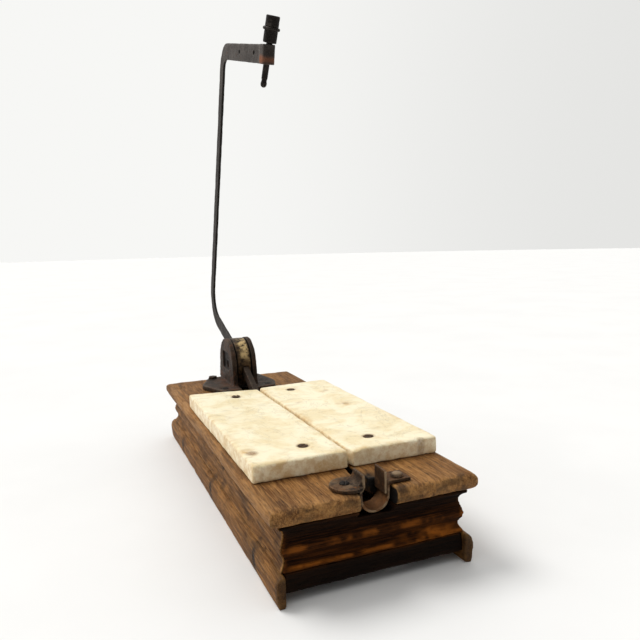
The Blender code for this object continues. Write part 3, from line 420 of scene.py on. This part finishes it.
# Sizes and reliefs of the patterns in the metals, in metres.
IRON_GRAIN_SIZE = 0.0016
IRON_SPECK_SIZE = 0.0006
PATCH_RELIEF = 0.0008
GRAIN_RELIEF = 0.0005
SPECK_RELIEF = 0.00015
BRASS_PATCH_SIZE = 0.007
BRASS_GRAIN_SIZE = 0.0014
BRASS_PATCH_RELIEF = 0.0006
BRASS_GRAIN_RELIEF = 0.0003


def iron(name, tones, metallic=0.55, rust_from=0.52, size=0.010, worn=0.7, shift=0.0):
    """Old iron: dark skin, rust in patches of about this size, specks, and rubbed edges."""
    base, bright, rust, deep = tones
    paint = Paint(name, metallic=metallic, gloss=0.3)
    patch = paint.noise(size, 6, rough=0.65, shift=shift)
    cloud = paint.noise(size * 2.4, 4, rough=0.6, shift=shift + 6)
    grain = paint.noise(IRON_GRAIN_SIZE, 5, rough=0.7, shift=shift + 2)
    speck = paint.noise(IRON_SPECK_SIZE, 3, rough=0.6, shift=shift + 4)
    colour = paint.mix(paint.span(grain, 0.36, 0.64), deep, base)
    colour = paint.mix(paint.span(cloud, 0.56, 0.40, 0.0, 0.55), colour, deep)
    colour = paint.mix(paint.span(cloud, 0.54, 0.68, 0.0, 0.45), colour, bright)
    gritty = paint.span(grain, 0.34, 0.60)
    red = paint.sum("MULTIPLY", paint.span(patch, rust_from, rust_from + 0.14), gritty)
    colour = paint.mix(red, colour, rust)
    colour = paint.mix(paint.span(speck, 0.58, 0.74, 0.0, 0.5), colour, rust)
    rub = paint.sum("MULTIPLY", paint.mask("edge"), gritty)
    colour = paint.mix(paint.sum("MULTIPLY", rub, worn), colour, bright)
    # The rust mask lays rust; the pale mask lays rubbed metal and painted highlights; the black mask
    # lays soot and painted shade.
    colour = paint.mix(paint.mask("rust"), colour, rust)
    colour = paint.mix(paint.mask("pale"), colour, bright)
    colour = paint.mix(paint.sum("MULTIPLY", paint.mask("hollow"), 0.75), colour, deep)
    colour = paint.mix(paint.mask("black"), colour, SOOT_AND_SHADE)
    polish = paint.sum("MULTIPLY", rub, 0.25)
    roughness = paint.sum("SUBTRACT", paint.span(grain, 0.3, 0.7, 0.56, 0.80), polish)
    return paint.finish(colour, roughness, (patch, PATCH_RELIEF), (grain, GRAIN_RELIEF),
                        (speck, SPECK_RELIEF))


def brass():
    """Tarnished hub: brown skin with gold rubbed through in patches, a painted gold highlight where
    the pale mask is set, and painted black shade where the black mask is set.
    """
    paint = Paint("brass_tarnished", metallic=0.8, gloss=0.4)
    brown, gold, black = BRASS_TONES
    patch = paint.noise(BRASS_PATCH_SIZE, 6, (1.4, 1, 1), rough=0.68)
    grain = paint.noise(BRASS_GRAIN_SIZE, 5, (3.0, 1, 1), rough=0.7, shift=3)
    colour = paint.mix(paint.span(patch, 0.36, 0.56), black, brown)
    # Painted gold highlight where the pale mask is set.
    rim_highlight = paint.sum("MULTIPLY", paint.mask("pale"), paint.span(patch, 0.40, 0.58))
    colour = paint.mix(rim_highlight, colour, gold)
    high = paint.span(patch, 0.56, 0.70, 0.0, 0.5)
    rub = paint.sum("MULTIPLY", high, paint.span(grain, 0.38, 0.58))
    colour = paint.mix(rub, colour, gold)
    colour = paint.mix(paint.sum("MULTIPLY", paint.mask("hollow"), 0.8), colour, black)
    # Painted shade where the black mask is set.
    colour = paint.mix(paint.mask("black"), colour, SOOT_AND_SHADE)
    roughness = paint.span(grain, 0.3, 0.7, 0.38, 0.64)
    return paint.finish(colour, roughness, (patch, BRASS_PATCH_RELIEF), (grain, BRASS_GRAIN_RELIEF))


# --- finishes -----------------------------------------------------------------------------------
# Near black, used for real soot and also as painted shade in recesses, gaps and on front faces.
SOOT_AND_SHADE = tone(16, 12, 9)
# Dark, middle, light, worn and dirty tones of each wood; the worn tone also serves painted highlights.
TOP_TONES = (tone(98, 62, 30), tone(150, 105, 56), tone(178, 130, 76), tone(188, 141, 84),
             tone(58, 42, 27))
SIDE_TONES = (tone(82, 50, 20), tone(134, 90, 44), tone(168, 118, 62), tone(188, 135, 70),
              tone(50, 34, 19))
# The front tones are the wood darkened to paint in the shade of the front faces; the rear moulding and
# plinth share them.
FRONT_SHADED_TONES = (tone(18, 6, 2), tone(46, 21, 5), tone(80, 42, 12), tone(168, 96, 32),
               tone(10, 4, 2))
ALONG_Y = (1, 14, 1)                 # stretch of the grain along the board
ALONG_X = (14, 1, 1)                 # and across it
# Skin, rubbed, rusted and deepest tones of each iron; the rubbed tone also serves painted highlights.
CAST_TONES = (tone(71, 58, 47), tone(94, 80, 64), tone(94, 61, 42), tone(38, 29, 23))
KEEPER_TONES = (tone(84, 66, 50), tone(140, 118, 92), tone(116, 76, 40), tone(32, 21, 13))
SCREW_TONES = (tone(86, 64, 42), tone(128, 102, 70), tone(112, 72, 38), tone(44, 31, 20))
ARM_TONES = (tone(84, 78, 74), tone(104, 98, 93), tone(132, 76, 40), tone(52, 46, 42))
STEEL_TONES = (tone(34, 30, 28), tone(92, 86, 80), tone(66, 46, 32), tone(17, 14, 13))
BRASS_TONES = (tone(84, 66, 46), tone(196, 170, 122), tone(36, 27, 20))    # skin, gold, black
TOP_WOOD = wood("top_wood_worn", TOP_TONES, ALONG_Y)
SIDE_WOOD = wood("side_wood_worn", SIDE_TONES, ALONG_Y, shift=20)
FRONT_WOOD_SHADED = wood("front_wood_shaded", FRONT_SHADED_TONES, ALONG_X, shift=40, edge_share=0.25, gloss=0.04)
MARBLE = marble()
BRASS = brass()
CAST_IRON = iron("cast_iron_rusted", CAST_TONES, rust_from=0.52, worn=0.5)
KEEPER_IRON = iron("keeper_iron_rusted", KEEPER_TONES, rust_from=0.50, size=0.007, shift=31)
SCREW_IRON = iron("screw_iron_rusted", SCREW_TONES, rust_from=0.48, size=0.004, shift=44)
ARM_IRON = iron("forged_iron_skin", ARM_TONES, 0.6, rust_from=0.62, size=0.012, worn=0.4, shift=8)
DARK_STEEL = iron("steel_blackened", STEEL_TONES, 0.7, rust_from=0.60, size=0.006, shift=15)


# --- places of marks, worked out from the frame -------------------------------------------------
def centre_of(node):
    """Middle of a node's box."""
    low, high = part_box(node)
    return (np.array(low) + np.array(high)) / 2


BOARD_LOW, BOARD_HIGH = (np.array(corner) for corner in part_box("top_board"))
FRONT_Y = BOARD_LOW[1]
BOARD_TOP = BOARD_HIGH[2]
PIVOT = centre_of("hub")
JOINT_PLACES = {joint["name"]: joint.get("pos_m") for joint in RECORD["behaviour"]["joints"]}
EYE = np.array(JOINT_PLACES["barrel_turn"])
TAB_SLOPE = math.radians(16.2)       # the raised arm's tab falls towards the front
TAB_WAY = np.array((0.0, -math.cos(TAB_SLOPE), -math.sin(TAB_SLOPE)))
TAB_UP = np.array((0.0, TAB_WAY[2], -TAB_WAY[1]))
TAB_HOLES = ((-46.5 * MM, 1.0 * MM), (-115.5 * MM, 1.0 * MM))    # along and up from the eye
TAB_HOLE_RADIUS = 2.6 * MM
BAR_START = -60 * MM                 # the bow's long bar lies beyond this, along the tab
NOTCH_LEFT = -19.0 * MM
NOTCH_RIGHT = 16.2 * MM
NOTCH_DEPTH = 33.3 * MM
NOTCH_MARGIN = 0.6 * MM
SLOT_HALF = 3.6 * MM
KEEPER_HALF = 13 * MM                # the keeper's trough is narrower than this each way
EAR_INSIDE = 12.2 * MM               # half width of the gap between the ears, painted black as shade
RECESS_SHADE = (-18.4 * MM, -17.2 * MM)    # x where the painted shade in the left ear's recess starts and is full
# Pairs are where a mark starts and where it is full, in metres.
FRONT_SOIL = (0.026, 0.003)          # depth behind the board's front edge
NOSE_WEAR = (0.010, 0.0)
NOTCH_SOOT = (0.016, 0.0)            # distance from the notch
NOTCH_HIGHLIGHT_DROP = 5 * MM             # height of the notch's painted highlight line under the board's top
SLOT_SOOT_HALF = (0.020, 0.010)      # half width and depth of the soot ahead of the slot
SLOT_SOOT_DEPTH = (0.062, 0.040)
WELL_SHADE = (-0.4 * MM, -2.6 * MM)   # painted shade below the board's top, in the notch and slot
NAIL_SOIL = (0.012, 0.003)           # distance from a nail
KNOT_PLACE = (None, FRONT_Y + 0.209, 0.056)
SIDE_END = (0.010, 0.004)            # painted shade on the front end of the side moulding and runner: depth, then height
SIDE_END_HEIGHT = (0.032, 0.026)
COVE_SHADE = (0.050, 0.064)          # painted shade: heights on the front moulding and plinth
PLINTH_SHADE = (0.030, 0.027)
PLINTH_TOP = 0.028
RIDGE_HIGH = 0.048                   # heights of the moulding's two ridges, which get painted highlights
RIDGE_LOW = 0.0315
RIDGE_HIGH_FADE = (0.005, 0.001)
RIDGE_LOW_FADE = (0.0022, 0.0004)
WARM_HIGHLIGHT_PLACE = (0.052, 0.031)          # x and z of the warm painted highlight
WARM_HIGHLIGHT_HALF = (0.042, 0.013)           # its half width and half height
FOOT_PLACE = (-0.024, 0.098)         # x and z of the red streak at the left ear's foot
FOOT_FADE = (0.010, 0.002)
RECESS_HALF = (0.024, 0.026)         # half depth and half height of the ear's recess
TROUGH_RUST = (0.080, 0.070)         # heights in the keeper
SLAB_FRONT = (0.05, 0.01)            # where the slabs' edges are chipped, behind their fronts
SLAB_CORNER = (0.018, 0.0)           # distance from the right slab's worn corner
SLAB_BORDER = (0.010, 0.001)         # distance from a slab's edge
SLAB_SCREWS = ("front_left", "rear_left", "front_right", "rear_right")
# Brown marks in the marble: x and depth behind the board's front edge (mm), size (mm), strength.
SLAB_MARKS = ((-88.0, 99.0, 14.0, 0.9), (70.2, 227.1, 9.0, 0.5), (80.0, 66.0, 10.0, 0.5),
              (-88.0, 62.0, 8.0, 0.4), (20.0, 260.0, 7.0, 0.3), (75.0, 300.0, 9.0, 0.3))


def patches(skin, size, seed, low=-0.2, high=0.6):
    """Noise on the skin as a share from 0 to 1."""
    return ramp(noise(skin.co, size, seed, 3), low, high)


def spot(skin, place, full, none):
    """1 within a distance of a place, falling to 0 further out; None in it ignores an axis."""
    total = np.zeros(len(skin.co))
    for axis, value in enumerate(place):
        if value is not None:
            total += (skin.co[:, axis] - value) ** 2
    return ramp(np.sqrt(total), none, full)


def timber(node, voxel, finish, seed, rounding=(1, 8), dent=0.5, marks=None):
    """Worn wooden piece: uneven rounding of its edges, shallow dents and soil marks.

    The voxel and dent are in millimetres; rounding gives the even and uneven smoothing rounds.
    """
    skin = Skin(node, voxel * MM)
    skin.smooth(rounding[0])
    skin.smooth(rounding[1], patches(skin, 0.018, seed))
    hollow = ramp(noise(skin.co, 0.030, seed + 5, 3), 0.25, 0.95)
    skin.push(-dent * MM * hollow)
    skin.edges(spread=3, sharp=0.09)
    skin.masks["grime"] = patches(skin, 0.05, seed + 9, 0.0, 0.8)
    if marks:
        marks(skin)
    return skin.made(finish)


def board_marks(skin):
    """The notch and slot are painted black as shade, the board is gritty along its front edge, and a
    painted highlight line runs along the notch's right wall.
    """
    x, y, z = skin.co.T
    depth = y - FRONT_Y
    front = ramp(depth, *FRONT_SOIL) * patches(skin, 0.009, 71, -0.1, 0.7)
    skin.masks["grime"] = np.clip(0.95 * front + 0.30 * skin.masks["grime"], 0, 1)
    in_width = (x > NOTCH_LEFT - NOTCH_MARGIN) & (x < NOTCH_RIGHT + NOTCH_MARGIN)
    inside = (in_width & (depth < NOTCH_DEPTH + NOTCH_MARGIN)) | (np.abs(x) < SLOT_HALF)
    # Painted shade: the notch and slot go black below the board's top.
    deep = np.where(inside, ramp(z - BOARD_TOP, *WELL_SHADE), 0.0)
    beside = np.maximum(np.maximum(NOTCH_LEFT - x, x - NOTCH_RIGHT), depth - NOTCH_DEPTH)
    near = ramp(beside, *NOTCH_SOOT) * patches(skin, 0.008, 72, -0.3, 0.5)
    behind = ramp(np.abs(x), *SLOT_SOOT_HALF) * ramp(depth, *SLOT_SOOT_DEPTH)
    worn = ramp(depth, *NOSE_WEAR) * patches(skin, (0.020, 0.008, 0.005), 73, -0.1, 0.5)
    black = 0.95 * deep + 0.55 * near + 0.8 * behind + 0.45 * worn
    skin.masks["black"] = np.clip(black, 0, 1)
    # Painted highlight: a pale line along the notch's right wall.
    place = (NOTCH_RIGHT + 0.5 * MM, None, BOARD_TOP - NOTCH_HIGHLIGHT_DROP)
    line = spot(skin, place, 0.6 * MM, 2.4 * MM)
    skin.masks["pale"] = 0.7 * line * (depth < NOTCH_DEPTH)


def side_marks(skin):
    """Soil runs down from the nails, a knot shows near the middle, and the front end is painted dark
    as shade.
    """
    _, y, z = skin.co.T
    streak = ramp(noise(skin.co, (0.012, 0.016, 0.080), 83, 3), 0.1, 0.8)
    mark = np.zeros(len(skin.co))
    for number in (1, 2, 3):
        for side in ("left", "right"):
            centre = centre_of(f"{side}_runner_nail_{number}")
            reach = np.hypot(y - centre[1], (z - centre[2]) * 0.5)
            mark = np.maximum(mark, ramp(reach, *NAIL_SOIL))
    skin.masks["grime"] = np.clip(0.65 * streak + mark, 0, 1)
    knot = spot(skin, KNOT_PLACE, 2 * MM, 7 * MM)
    # Painted shade on the low front end, which faces away from the light.
    end = 0.9 * ramp(y - FRONT_Y, *SIDE_END) * ramp(z, *SIDE_END_HEIGHT)
    skin.masks["black"] = 0.7 * np.maximum(np.maximum(knot, end), ramp(mark, 0.8, 1.0))


def front_marks(skin):
    """The cove and plinth are painted black as shade; the ridges and the lower right get painted
    highlights.
    """
    x, _, z = skin.co.T
    # Painted shade: the cove under the nose and the plinth go black.
    cove = 0.75 * ramp(z, *COVE_SHADE)
    skin.masks["black"] = np.maximum(cove, 0.85 * ramp(z, *PLINTH_SHADE))
    # Painted highlights: a warm pool of light at the lower right and lines along the two ridges.
    reach = np.hypot((x - WARM_HIGHLIGHT_PLACE[0]) / WARM_HIGHLIGHT_HALF[0], (z - WARM_HIGHLIGHT_PLACE[1]) / WARM_HIGHLIGHT_HALF[1])
    lit = 0.75 * ramp(reach, 1.1, 0.2) * (z > PLINTH_TOP)
    ridges = 0.40 * ramp(np.abs(z - RIDGE_HIGH), *RIDGE_HIGH_FADE)
    ridges = ridges + 0.55 * ramp(np.abs(z - RIDGE_LOW), *RIDGE_LOW_FADE)
    skin.masks["pale"] = np.maximum(lit, ridges) * patches(skin, 0.014, 91, -0.4, 0.5)


def slab(node, side, sag, seed):
    """Marble slab whose top has worn down towards the wire, with chipped and stained edges.

    The side is -1 for left and 1 for right; sag gives the wear by the wire, in front and behind.
    """
    skin = Skin(node, 1.0 * MM)
    x, y, z = skin.co.T
    low, high = skin.low, skin.high
    inner = low[0] if side > 0 else high[0]
    width = high[0] - low[0]
    share = np.clip(1 - np.abs(x - inner) / width, 0, 1)
    rise = np.clip((z - low[2]) / (high[2] - low[2]), 0, 1)
    along = np.clip((y - low[1]) / (high[1] - low[1]), 0, 1)
    worn = sag[0] + (sag[1] - sag[0]) * along
    skin.co[:, 2] -= worn * share ** 1.3 * rise
    skin.co[:, 2] -= 0.5 * MM * rise * ramp(noise(skin.co, 0.06, seed, 2), 0.0, 0.9)
    if side > 0:
        corner = ramp(np.hypot(x - inner, y - low[1]), *SLAB_CORNER)
        skin.co[:, 0] += 3.0 * MM * corner
        skin.co[:, 2] -= 1.5 * MM * corner * rise
    skin.smooth(2)
    skin.smooth(10, patches(skin, 0.014, seed + 1, -0.3, 0.5))
    chips = ramp(noise(skin.co, 0.006, seed + 2, 3), 0.35, 0.85)
    skin.edges(spread=2)
    front = ramp(y - low[1], *SLAB_FRONT)
    skin.push(-0.9 * MM * chips * skin.masks["edge"] * front)
    skin.push(-0.10 * MM * ramp(noise(skin.co, 0.004, seed + 3, 3), 0.2, 1.0))
    skin.edges(spread=4, sharp=0.07)
    skin.masks["side"] = ramp(skin.normals()[:, 2], 0.75, 0.30)
    slab_stains(skin, seed)
    return skin.made(MARBLE)


def slab_stains(skin, seed):
    """Tan stains along the rim, rust round the screws and the brown marks."""
    low, high = skin.low, skin.high
    border = np.minimum(np.minimum(skin.co[:, 0] - low[0], high[0] - skin.co[:, 0]),
                        np.minimum(skin.co[:, 1] - low[1], high[1] - skin.co[:, 1]))
    patchy = ramp(noise(skin.co, 0.020, seed + 4, 4), 0.0, 0.75)
    stain = ramp(border, *SLAB_BORDER) * patchy * 0.55
    rust = np.zeros(len(skin.co))
    for place in SLAB_SCREWS:
        centre = centre_of("slab_screw_" + place)
        at = (centre[0], centre[1], None)
        rust = np.maximum(rust, spot(skin, at, 5.6 * MM, 8.5 * MM) * 0.6)
        stain = np.maximum(stain, spot(skin, at, 6 * MM, 22 * MM) * patchy)
    for mark_x, depth, size, strength in SLAB_MARKS:
        at = (mark_x * MM, FRONT_Y + depth * MM, None)
        rust = np.maximum(rust, spot(skin, at, size * 0.2 * MM, size * 0.6 * MM) * strength)
        stain = np.maximum(stain, spot(skin, at, size * 0.5 * MM, size * 1.8 * MM) * patchy)
    skin.masks["stain"] = stain
    skin.masks["rust"] = rust


def metal(node, voxel, finish, seed, rounding=(2, 4), rough=0.10, lumps=0.0, rust=0.0, marks=None):
    """Worn metal piece: rounded edges, pitted skin and, if asked, lumps from the hammer.

    The voxel, rough and lumps are in millimetres; rust is the share of rust in its patches.
    """
    skin = Skin(node, voxel * MM)
    skin.smooth(rounding[0])
    skin.smooth(rounding[1], patches(skin, 0.010, seed))
    pits = ramp(noise(skin.co, 0.0035, seed + 1, 3), 0.1, 0.9)
    skin.push(-rough * MM * pits)
    if lumps:
        skin.push(-lumps * MM * ramp(noise(skin.co, 0.014, seed + 2, 2), -0.3, 0.8))
    skin.edges(spread=2, sharp=0.12)
    skin.masks["rust"] = rust * patches(skin, 0.012, seed + 3, -0.2, 0.7)
    if marks:
        marks(skin)
    return skin.made(finish)


def arm_marks(skin):
    """Rust low on the eye, a painted highlight band beside it, and painted black shade on the bar and
    eye fronts and in the holes.
    """
    local = skin.co - EYE
    along = local @ TAB_WAY
    up = local @ TAB_UP
    low_rust = ramp(np.hypot(along / 15, (up + 6 * MM) / 7) / MM, 1.1, 0.2)
    skin.masks["rust"] = 0.9 * low_rust
    # Painted highlight band along the tab beside the eye.
    skin.masks["pale"] = 0.5 * ramp(np.abs(along + 22 * MM), 7 * MM, 2 * MM)
    # Painted shade on front-facing surfaces of the bar and the eye block, and in the tab holes.
    facing = ramp(-skin.normals()[:, 1], 0.15, 0.5)
    bar_front_shade = 0.9 * facing * (along < BAR_START)
    # The bar is also darker towards its low end.
    bar = 0.55 * ramp(local[:, 2], 25 * MM, -10 * MM) * (along < BAR_START)
    block = 0.60 * facing * ramp(along, -16 * MM, -8 * MM) * ramp(low_rust, 0.6, 0.0)
    holes = np.zeros(len(skin.co))
    for place in TAB_HOLES:
        reach = np.hypot(along - place[0], up - place[1])
        holes = np.maximum(holes, ramp(reach, TAB_HOLE_RADIUS + 0.8 * MM, TAB_HOLE_RADIUS))
    skin.masks["black"] = np.clip(np.maximum(bar_front_shade, np.maximum(bar, block)) + holes, 0, 1)


def hub_marks(skin):
    """The upper front of the rim gets a painted gold highlight; the flat faces by the ears are painted
    black as shade.
    """
    x, y, z = skin.co.T
    # Painted highlight on the upper front of the rim.
    rim_highlight = ramp(z, PIVOT[2] + 8 * MM, PIVOT[2] + 18 * MM)
    rim_highlight = rim_highlight * ramp(y, PIVOT[1] + 4 * MM, PIVOT[1] - 12 * MM)
    rim_highlight = rim_highlight * ramp(x, -6 * MM, -2 * MM) * ramp(x, 10 * MM, 7 * MM)
    skin.masks["pale"] = rim_highlight
    # Painted shade on the flat faces in the gaps beside the ears.
    left = ramp(x, -8 * MM, -10.4 * MM)
    skin.masks["black"] = 0.85 * np.maximum(left, ramp(x, 9 * MM, 10.6 * MM))


def bracket_marks(skin):
    """Painted black shade in the recess and between the ears, and a red rust streak at the left ear's
    foot.
    """
    x, y, z = skin.co.T
    # Painted shade in the recess and in the gap between the ears.
    recess = ramp(x, *RECESS_SHADE) * (x < -EAR_INSIDE)
    recess = recess * (np.abs(y - PIVOT[1]) < RECESS_HALF[0])
    recess = recess * (np.abs(z - PIVOT[2]) < RECESS_HALF[1])
    inside = (np.abs(x) < EAR_INSIDE) * (z > BOARD_TOP)
    skin.masks["black"] = np.clip(0.75 * recess + 0.8 * inside, 0, 1)
    foot = ramp(np.abs(x - FOOT_PLACE[0]), *FOOT_FADE) * ramp(np.abs(z - FOOT_PLACE[1]), *FOOT_FADE)
    red = foot * patches(skin, 0.012, 151, -0.4, 0.4) * (skin.normals()[:, 2] > -0.5)
    skin.masks["rust"] = np.clip(skin.masks["rust"] + 0.8 * red, 0, 1)


def keeper_marks(skin):
    """Front faces of the ears painted dark as shade, painted highlights on the trough's front rims,
    and golden rust in the trough.
    """
    x, _, z = skin.co.T
    front = ramp(-skin.normals()[:, 1], 0.5, 0.9)
    # Painted shade on the front faces outside the trough.
    skin.masks["black"] = 0.6 * front * (z > BOARD_TOP) * (np.abs(x) > KEEPER_HALF)
    trough = (np.abs(x) < KEEPER_HALF) * ramp(z, *TROUGH_RUST)
    skin.masks["rust"] = np.clip(skin.masks["rust"] + 0.6 * trough, 0, 1)
    # Painted highlight on the front-facing rims of the trough.
    rims = 0.8 * front * (np.abs(x) < KEEPER_HALF + 3 * MM)
    skin.masks["pale"] = rims * patches(skin, 0.006, 161, -0.2, 0.4)


def plate_marks(skin):
    """The guide plate is sooty and rusted, with a rubbed front edge."""
    edge = ramp(skin.co[:, 1], skin.low[1] + 1.6 * MM, skin.low[1] + 0.4 * MM)
    skin.masks["pale"] = edge
    skin.masks["rust"] = np.maximum(skin.masks["rust"], 0.4)
    skin.masks["black"] = 0.55 * patches(skin, 0.007, 171, -0.6, 0.3) * (1 - edge)


def rivet_marks(skin):
    """The rivet's dome is rubbed bright."""
    top = skin.high[2]
    skin.masks["pale"] = ramp(skin.co[:, 2], top - 2.2 * MM, top - 0.4 * MM)


# --- pieces -------------------------------------------------------------------------------------
def build_base():
    """The wooden base, its slabs and its nails and screws."""
    timber("top_board", 1.3, TOP_WOOD, seed=1, rounding=(1, 10), dent=0.7, marks=board_marks)
    for number, side in enumerate(("left", "right")):
        timber(side + "_moulding", 1.0, SIDE_WOOD, seed=11 + number, rounding=(1, 5), marks=side_marks)
        timber(side + "_runner", 1.2, SIDE_WOOD, seed=21 + number, rounding=(2, 10), dent=0.8,
               marks=side_marks)
        for place in ("front", "rear"):
            timber(f"corner_block_{place}_{side}", 1.6, SIDE_WOOD, seed=31 + number,
                   rounding=(1, 3), dent=0.3)
        for nail in (1, 2, 3):
            metal(f"{side}_runner_nail_{nail}", 0.35, DARK_STEEL, seed=40 + nail,
                  rounding=(1, 3), rough=0.08, rust=0.5)
    for number, place in enumerate(("front", "rear")):
        timber(place + "_moulding", 1.0, FRONT_WOOD_SHADED, seed=51 + number, rounding=(1, 6),
               marks=front_marks)
        timber(place + "_plinth", 1.2, FRONT_WOOD_SHADED, seed=61 + number, rounding=(2, 8), dent=0.6,
               marks=front_marks)
    slab("marble_slab_left", side=-1, sag=(0.0, 3.6 * MM), seed=71)
    slab("marble_slab_right", side=1, sag=(0.0, 1.8 * MM), seed=81)
    for number, place in enumerate(SLAB_SCREWS):
        metal("slab_screw_" + place, 0.35, SCREW_IRON, seed=91 + number, rounding=(1, 3), rough=0.12)


def build_iron():
    """The bracket and the keeper, with their fasteners."""
    metal("pivot_bracket", 0.9, CAST_IRON, seed=101, rounding=(4, 8), rough=0.25, lumps=0.3,
          rust=0.25, marks=bracket_marks)
    metal("bracket_bolt", 0.4, CAST_IRON, seed=103, rounding=(2, 6), rough=0.25, rust=0.3)
    for number, place in enumerate(("front_left", "front_right", "rear_right")):
        metal("bracket_screw_" + place, 0.35, DARK_STEEL, seed=104 + number, rounding=(1, 3),
              rough=0.12, rust=0.4)
    metal("axle_pin", 0.5, DARK_STEEL, seed=108, rough=0.12)
    metal("front_keeper", 0.55, KEEPER_IRON, seed=109, rounding=(3, 6), rough=0.15, lumps=0.2,
          rust=0.35, marks=keeper_marks)
    metal("keeper_guide_plate", 0.4, KEEPER_IRON, seed=110, rough=0.12, rust=0.7, marks=plate_marks)
    metal("keeper_screw_left", 0.3, DARK_STEEL, seed=111, rounding=(1, 3))
    metal("keeper_rivet_right", 0.35, KEEPER_IRON, seed=112, rough=0.12, marks=rivet_marks)


def build_arm():
    """The swinging arm, and the barrel and pin at its tip."""
    metal("hub", 0.8, BRASS, seed=121, rounding=(2, 5), rough=0.15, lumps=0.2, marks=hub_marks)
    metal("bow_arm", 0.8, ARM_IRON, seed=122, rounding=(2, 5), rough=0.12, lumps=0.25,
          marks=arm_marks)
    metal("wire_anchor", 0.6, CAST_IRON, seed=123, rough=0.12, lumps=0.2)
    for number, node in enumerate(("hub_rivet_inner", "hub_rivet_outer", "tail_rivet")):
        metal(node, 0.35, DARK_STEEL, seed=124 + number, rounding=(1, 2), rough=0.05)
    metal("tensioner_barrel", 0.4, DARK_STEEL, seed=128, rough=0.12, lumps=0.1)
    metal("tensioner_ring", 0.35, DARK_STEEL, seed=129, rounding=(1, 3), rough=0.08)
    metal("wire_pin", 0.35, DARK_STEEL, seed=130, rounding=(1, 3))


# --- stage --------------------------------------------------------------------------------------
CAMERA_PLACE = (-0.24524, -0.77931, 0.30620)
CAMERA_TURN = (82.756, 1.333, -22.571)         # degrees, XYZ
CAMERA_LENS = 35.117                           # millimetres
CAMERA_SENSOR = 36.0
FLOOR_RADIUS = 14.0
FLOOR_SIDES = 96
FLOOR_TONE = tone(240, 240, 240)
FLOOR_CLOUD = 0.25                             # size of the floor's faint clouds
FLOOR_CLOUD_SHADE = 0.97
SUN_FROM = (-0.45, 0.50, 1.0)
SUN_STRENGTH = 1.55
SUN_SOFTNESS = 28.0                            # degrees
SUN_COLOUR = (1.0, 0.98, 0.95)
SKY_COLOUR = (1.0, 1.0, 0.98, 1.0)
SKY_FRONT = 0.28                               # brightness of the studio in front of the cutter
SKY_BACK = 0.93                                # and behind it
SKY_RISE = 0.8                                 # how much of the back's brightness is also above
SKY_TURN = (-0.35, 0.45)                       # where, from front to back, it brightens
SKY_RIGHT = 0.84                               # share of that brightness far to the right
SKY_RIGHT_TURN = (0.2, 0.8)                    # where, from the middle to the right, it dims


def floor_finish():
    """Nearly even pale matt surface with faint clouds."""
    paint = Paint("floor_pale", gloss=0.2)
    cloud = paint.noise(FLOOR_CLOUD, 3)
    shade = tuple(part * FLOOR_CLOUD_SHADE for part in FLOOR_TONE)
    colour = paint.mix(paint.span(cloud, 0.3, 0.7), FLOOR_TONE, shade)
    return paint.finish(colour, 0.85, (cloud, 0.0002))


def build_floor():
    """One wide round face at table level."""
    mesh = bpy.data.meshes.new("floor")
    rim = []
    for i in range(FLOOR_SIDES):
        angle = 2 * math.pi * i / FLOOR_SIDES
        rim.append((FLOOR_RADIUS * math.cos(angle), FLOOR_RADIUS * math.sin(angle), 0))
    mesh.from_pydata(rim, [], [tuple(range(FLOOR_SIDES))])
    floor = bpy.data.objects.new("floor", mesh)
    mesh.materials.append(floor_finish())
    bpy.context.scene.collection.objects.link(floor)


def sky_span(tree, value, turn, start, end):
    """Maps the turn's two ends to start and end, smoothly and held beyond them."""
    node = tree.nodes.new("ShaderNodeMapRange")
    node.interpolation_type = "SMOOTHSTEP"
    tree.links.new(value, node.inputs["Value"])
    node.inputs["From Min"].default_value = turn[0]
    node.inputs["From Max"].default_value = turn[1]
    node.inputs["To Min"].default_value = start
    node.inputs["To Max"].default_value = end
    return node.outputs["Result"]


def sky_math(tree, operation, first, second):
    """One math node; second may be a number or an output."""
    node = tree.nodes.new("ShaderNodeMath")
    node.operation = operation
    tree.links.new(first, node.inputs[0])
    if isinstance(second, float):
        node.inputs[1].default_value = second
    else:
        tree.links.new(second, node.inputs[1])
    return node.outputs[0]


def build_sky():
    """A studio that is bright behind and above, and dim in front."""
    world = bpy.data.worlds.new("studio")
    world.use_nodes = True
    tree = world.node_tree
    way = tree.nodes.new("ShaderNodeTexCoord").outputs["Generated"]
    split = tree.nodes.new("ShaderNodeSeparateXYZ")
    tree.links.new(way, split.inputs[0])
    rise = sky_math(tree, "MULTIPLY", split.outputs["Z"], SKY_RISE)
    lean = sky_math(tree, "ADD", split.outputs["Y"], rise)
    back = sky_span(tree, lean, SKY_TURN, SKY_FRONT, SKY_BACK)
    right = sky_span(tree, split.outputs["X"], SKY_RIGHT_TURN, 1.0, SKY_RIGHT)
    background = tree.nodes["Background"]
    background.inputs["Color"].default_value = SKY_COLOUR
    strength = sky_math(tree, "MULTIPLY", back, right)
    tree.links.new(strength, background.inputs["Strength"])
    bpy.context.scene.world = world


def build_sun():
    """A broad soft sun from the back left, high up."""
    light = bpy.data.lights.new("key", "SUN")
    light.energy = SUN_STRENGTH
    light.angle = math.radians(SUN_SOFTNESS)
    light.color = SUN_COLOUR
    lamp = bpy.data.objects.new("key", light)
    lamp.rotation_euler = Vector(SUN_FROM).to_track_quat("Z", "Y").to_euler()
    bpy.context.scene.collection.objects.link(lamp)


def build_camera():
    """The view from the front left, and the plain view transform that the tones assume."""
    lens = bpy.data.cameras.new("camera")
    lens.sensor_width = CAMERA_SENSOR
    lens.lens = CAMERA_LENS
    camera = bpy.data.objects.new("camera", lens)
    camera.location = CAMERA_PLACE
    camera.rotation_euler = Euler([math.radians(turn) for turn in CAMERA_TURN], "XYZ")
    bpy.context.scene.collection.objects.link(camera)
    bpy.context.scene.camera = camera
    bpy.context.scene.view_settings.view_transform = "Standard"


build_base()
build_iron()
build_arm()
build_floor()
build_sky()
build_sun()
build_camera()
